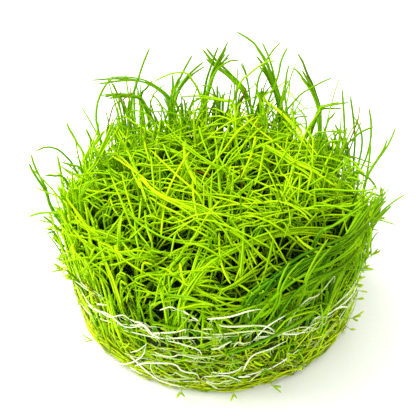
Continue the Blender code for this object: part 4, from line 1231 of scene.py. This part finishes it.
def sproutBatches(rng, angle, height, rise, reach):
    angle, rise = math.radians(angle), math.radians(rise)
    out = around(angle, 1.0, 0.0)
    ahead = out * math.cos(rise) + np.array([0.0, 0.0, math.sin(rise)])
    start = around(angle, float(wallRadius(height)) - 1.5, height)
    joint = start + ahead * (1.5 + reach * 0.45) + rng.normal(0.0, 0.3, 3)
    joint[2] = max(joint[2], 0.8)
    stem = evenPath([start, (start + joint) / 2 + rng.normal(0.0, 0.35, 3), joint], 8)
    batches = [(stem[None], taper(sprout["stemThickness"], 8, tipFrom=1.1), [0.1], [0.0], 5)]
    across = np.cross(ahead, [0.0, 0.0, 1.0])
    for leaf in range(int(rng.integers(2, 5))):
        lean = math.radians(rng.normal(0.0, sprout["spread"]))
        lift = math.radians(rng.normal(10.0, sprout["spread"] * 0.7))
        heading = unit(ahead * math.cos(lean) + across * math.sin(lean) + np.array([0.0, 0.0, math.sin(lift)]))
        length = rng.uniform(*sprout["leafLength"]) * reach / 5.5
        bend = np.array([0.0, 0.0, rng.uniform(-0.2, 0.5)])
        path = evenPath([joint, joint + heading * length * 0.5, joint + (heading + bend * 0.5) * length], 8)
        path[:, 2] = np.maximum(path[:, 2], 0.45)
        radii = taper(rng.uniform(*sprout["leafThickness"]), 8, foot=0.55, tipFrom=0.45)
        batches.append((path[None], radii, [rng.uniform(0.3, 1.0)], [0.0], 5))
    return batches


def addSprouts():
    rng = np.random.default_rng(71)
    for name, place in sproutPlaces.items():
        piece = makePiece(name.replace("plantlet", "young_sprout"), sproutBatches(rng, *place), sproutMaterial)
        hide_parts(name)
    extras = []
    for span, heights, count in [((0, 360), (1.0, 26.0), sprout["extras"]), ((165, 215), (12.0, 28.0), sprout["left"])]:
        for _ in range(count):
            extras += sproutBatches(rng, rng.uniform(*span), rng.uniform(*heights), rng.uniform(0, 50),
                                    rng.uniform(2.2, 4.8))
    piece = makePiece("small_side_sprouts", extras, sproutMaterial)
    print("sprouts:", len(sproutPlaces) + sprout["extras"])


addSprouts()

# Floor and light
floor = {
    "side": 3.0,  # metres
    "colour": ["#ECEEE8", "#F0F0EC"],
    "grain": 1.2,  # mm
    "grainDepth": 0.03,  # mm
    "roughness": (0.85, 0.95),
    "ior": 1.45,
    "shine": 0.1,
}
studio = {
    "skyStrength": 1.55,
    "keyPlace": (-0.8, 0.45, 0.75),  # metres
    "keySize": 1.3,
    "keyPower": 32.0,
}


def makeFloor():
    # matt white studio board with a faint paper grain
    half = floor["side"] / 2
    mesh = bpy.data.meshes.new("floor")
    mesh.from_pydata([(-half, -half, 0), (half, -half, 0), (half, half, 0), (-half, half, 0)], [], [(0, 1, 2, 3)])
    material, tree, shader = newMaterial("white_studio_board", floor)
    place = addNode(tree, "ShaderNodeTexCoord")
    grain = addNode(tree, "ShaderNodeTexNoise", {"Scale": 1.0 / (floor["grain"] * mm), "Detail": 3.0},
                    {"Vector": place.outputs["Object"]})
    colour = setRamp(addNode(tree, "ShaderNodeValToRGB", links={"Fac": grain.outputs["Fac"]}),
                     [(0.3, floor["colour"][0]), (0.7, floor["colour"][1])])
    tree.links.new(colour.outputs["Color"], shader.inputs["Base Color"])
    gloss = addNode(tree, "ShaderNodeMapRange", {"To Min": floor["roughness"][0], "To Max": floor["roughness"][1]},
                    {"Value": grain.outputs["Fac"]})
    tree.links.new(gloss.outputs[0], shader.inputs["Roughness"])
    bump = addNode(tree, "ShaderNodeBump", {"Strength": 0.3, "Distance": floor["grainDepth"] * mm},
                   {"Height": grain.outputs["Fac"]})
    tree.links.new(bump.outputs["Normal"], shader.inputs["Normal"])
    mesh.materials.append(material)
    piece = bpy.data.objects.new("floor", mesh)
    bpy.context.scene.collection.objects.link(piece)


def addStudio():
    world = bpy.data.worlds.new("studio")
    world.use_nodes = True
    world.node_tree.nodes["Background"].inputs["Color"].default_value = (1.0, 1.0, 1.0, 1.0)
    world.node_tree.nodes["Background"].inputs["Strength"].default_value = studio["skyStrength"]
    bpy.context.scene.world = world
    key = bpy.data.objects.new("key", bpy.data.lights.new("key", "AREA"))
    key.data.size = studio["keySize"]
    key.data.energy = studio["keyPower"]
    key.location = studio["keyPlace"]
    key.rotation_euler = Vector(studio["keyPlace"]).to_track_quat("Z", "Y").to_euler()
    bpy.context.scene.collection.objects.link(key)
    bpy.context.scene.view_settings.view_transform = "Standard"


makeFloor()
addStudio()
print("studio: lit")
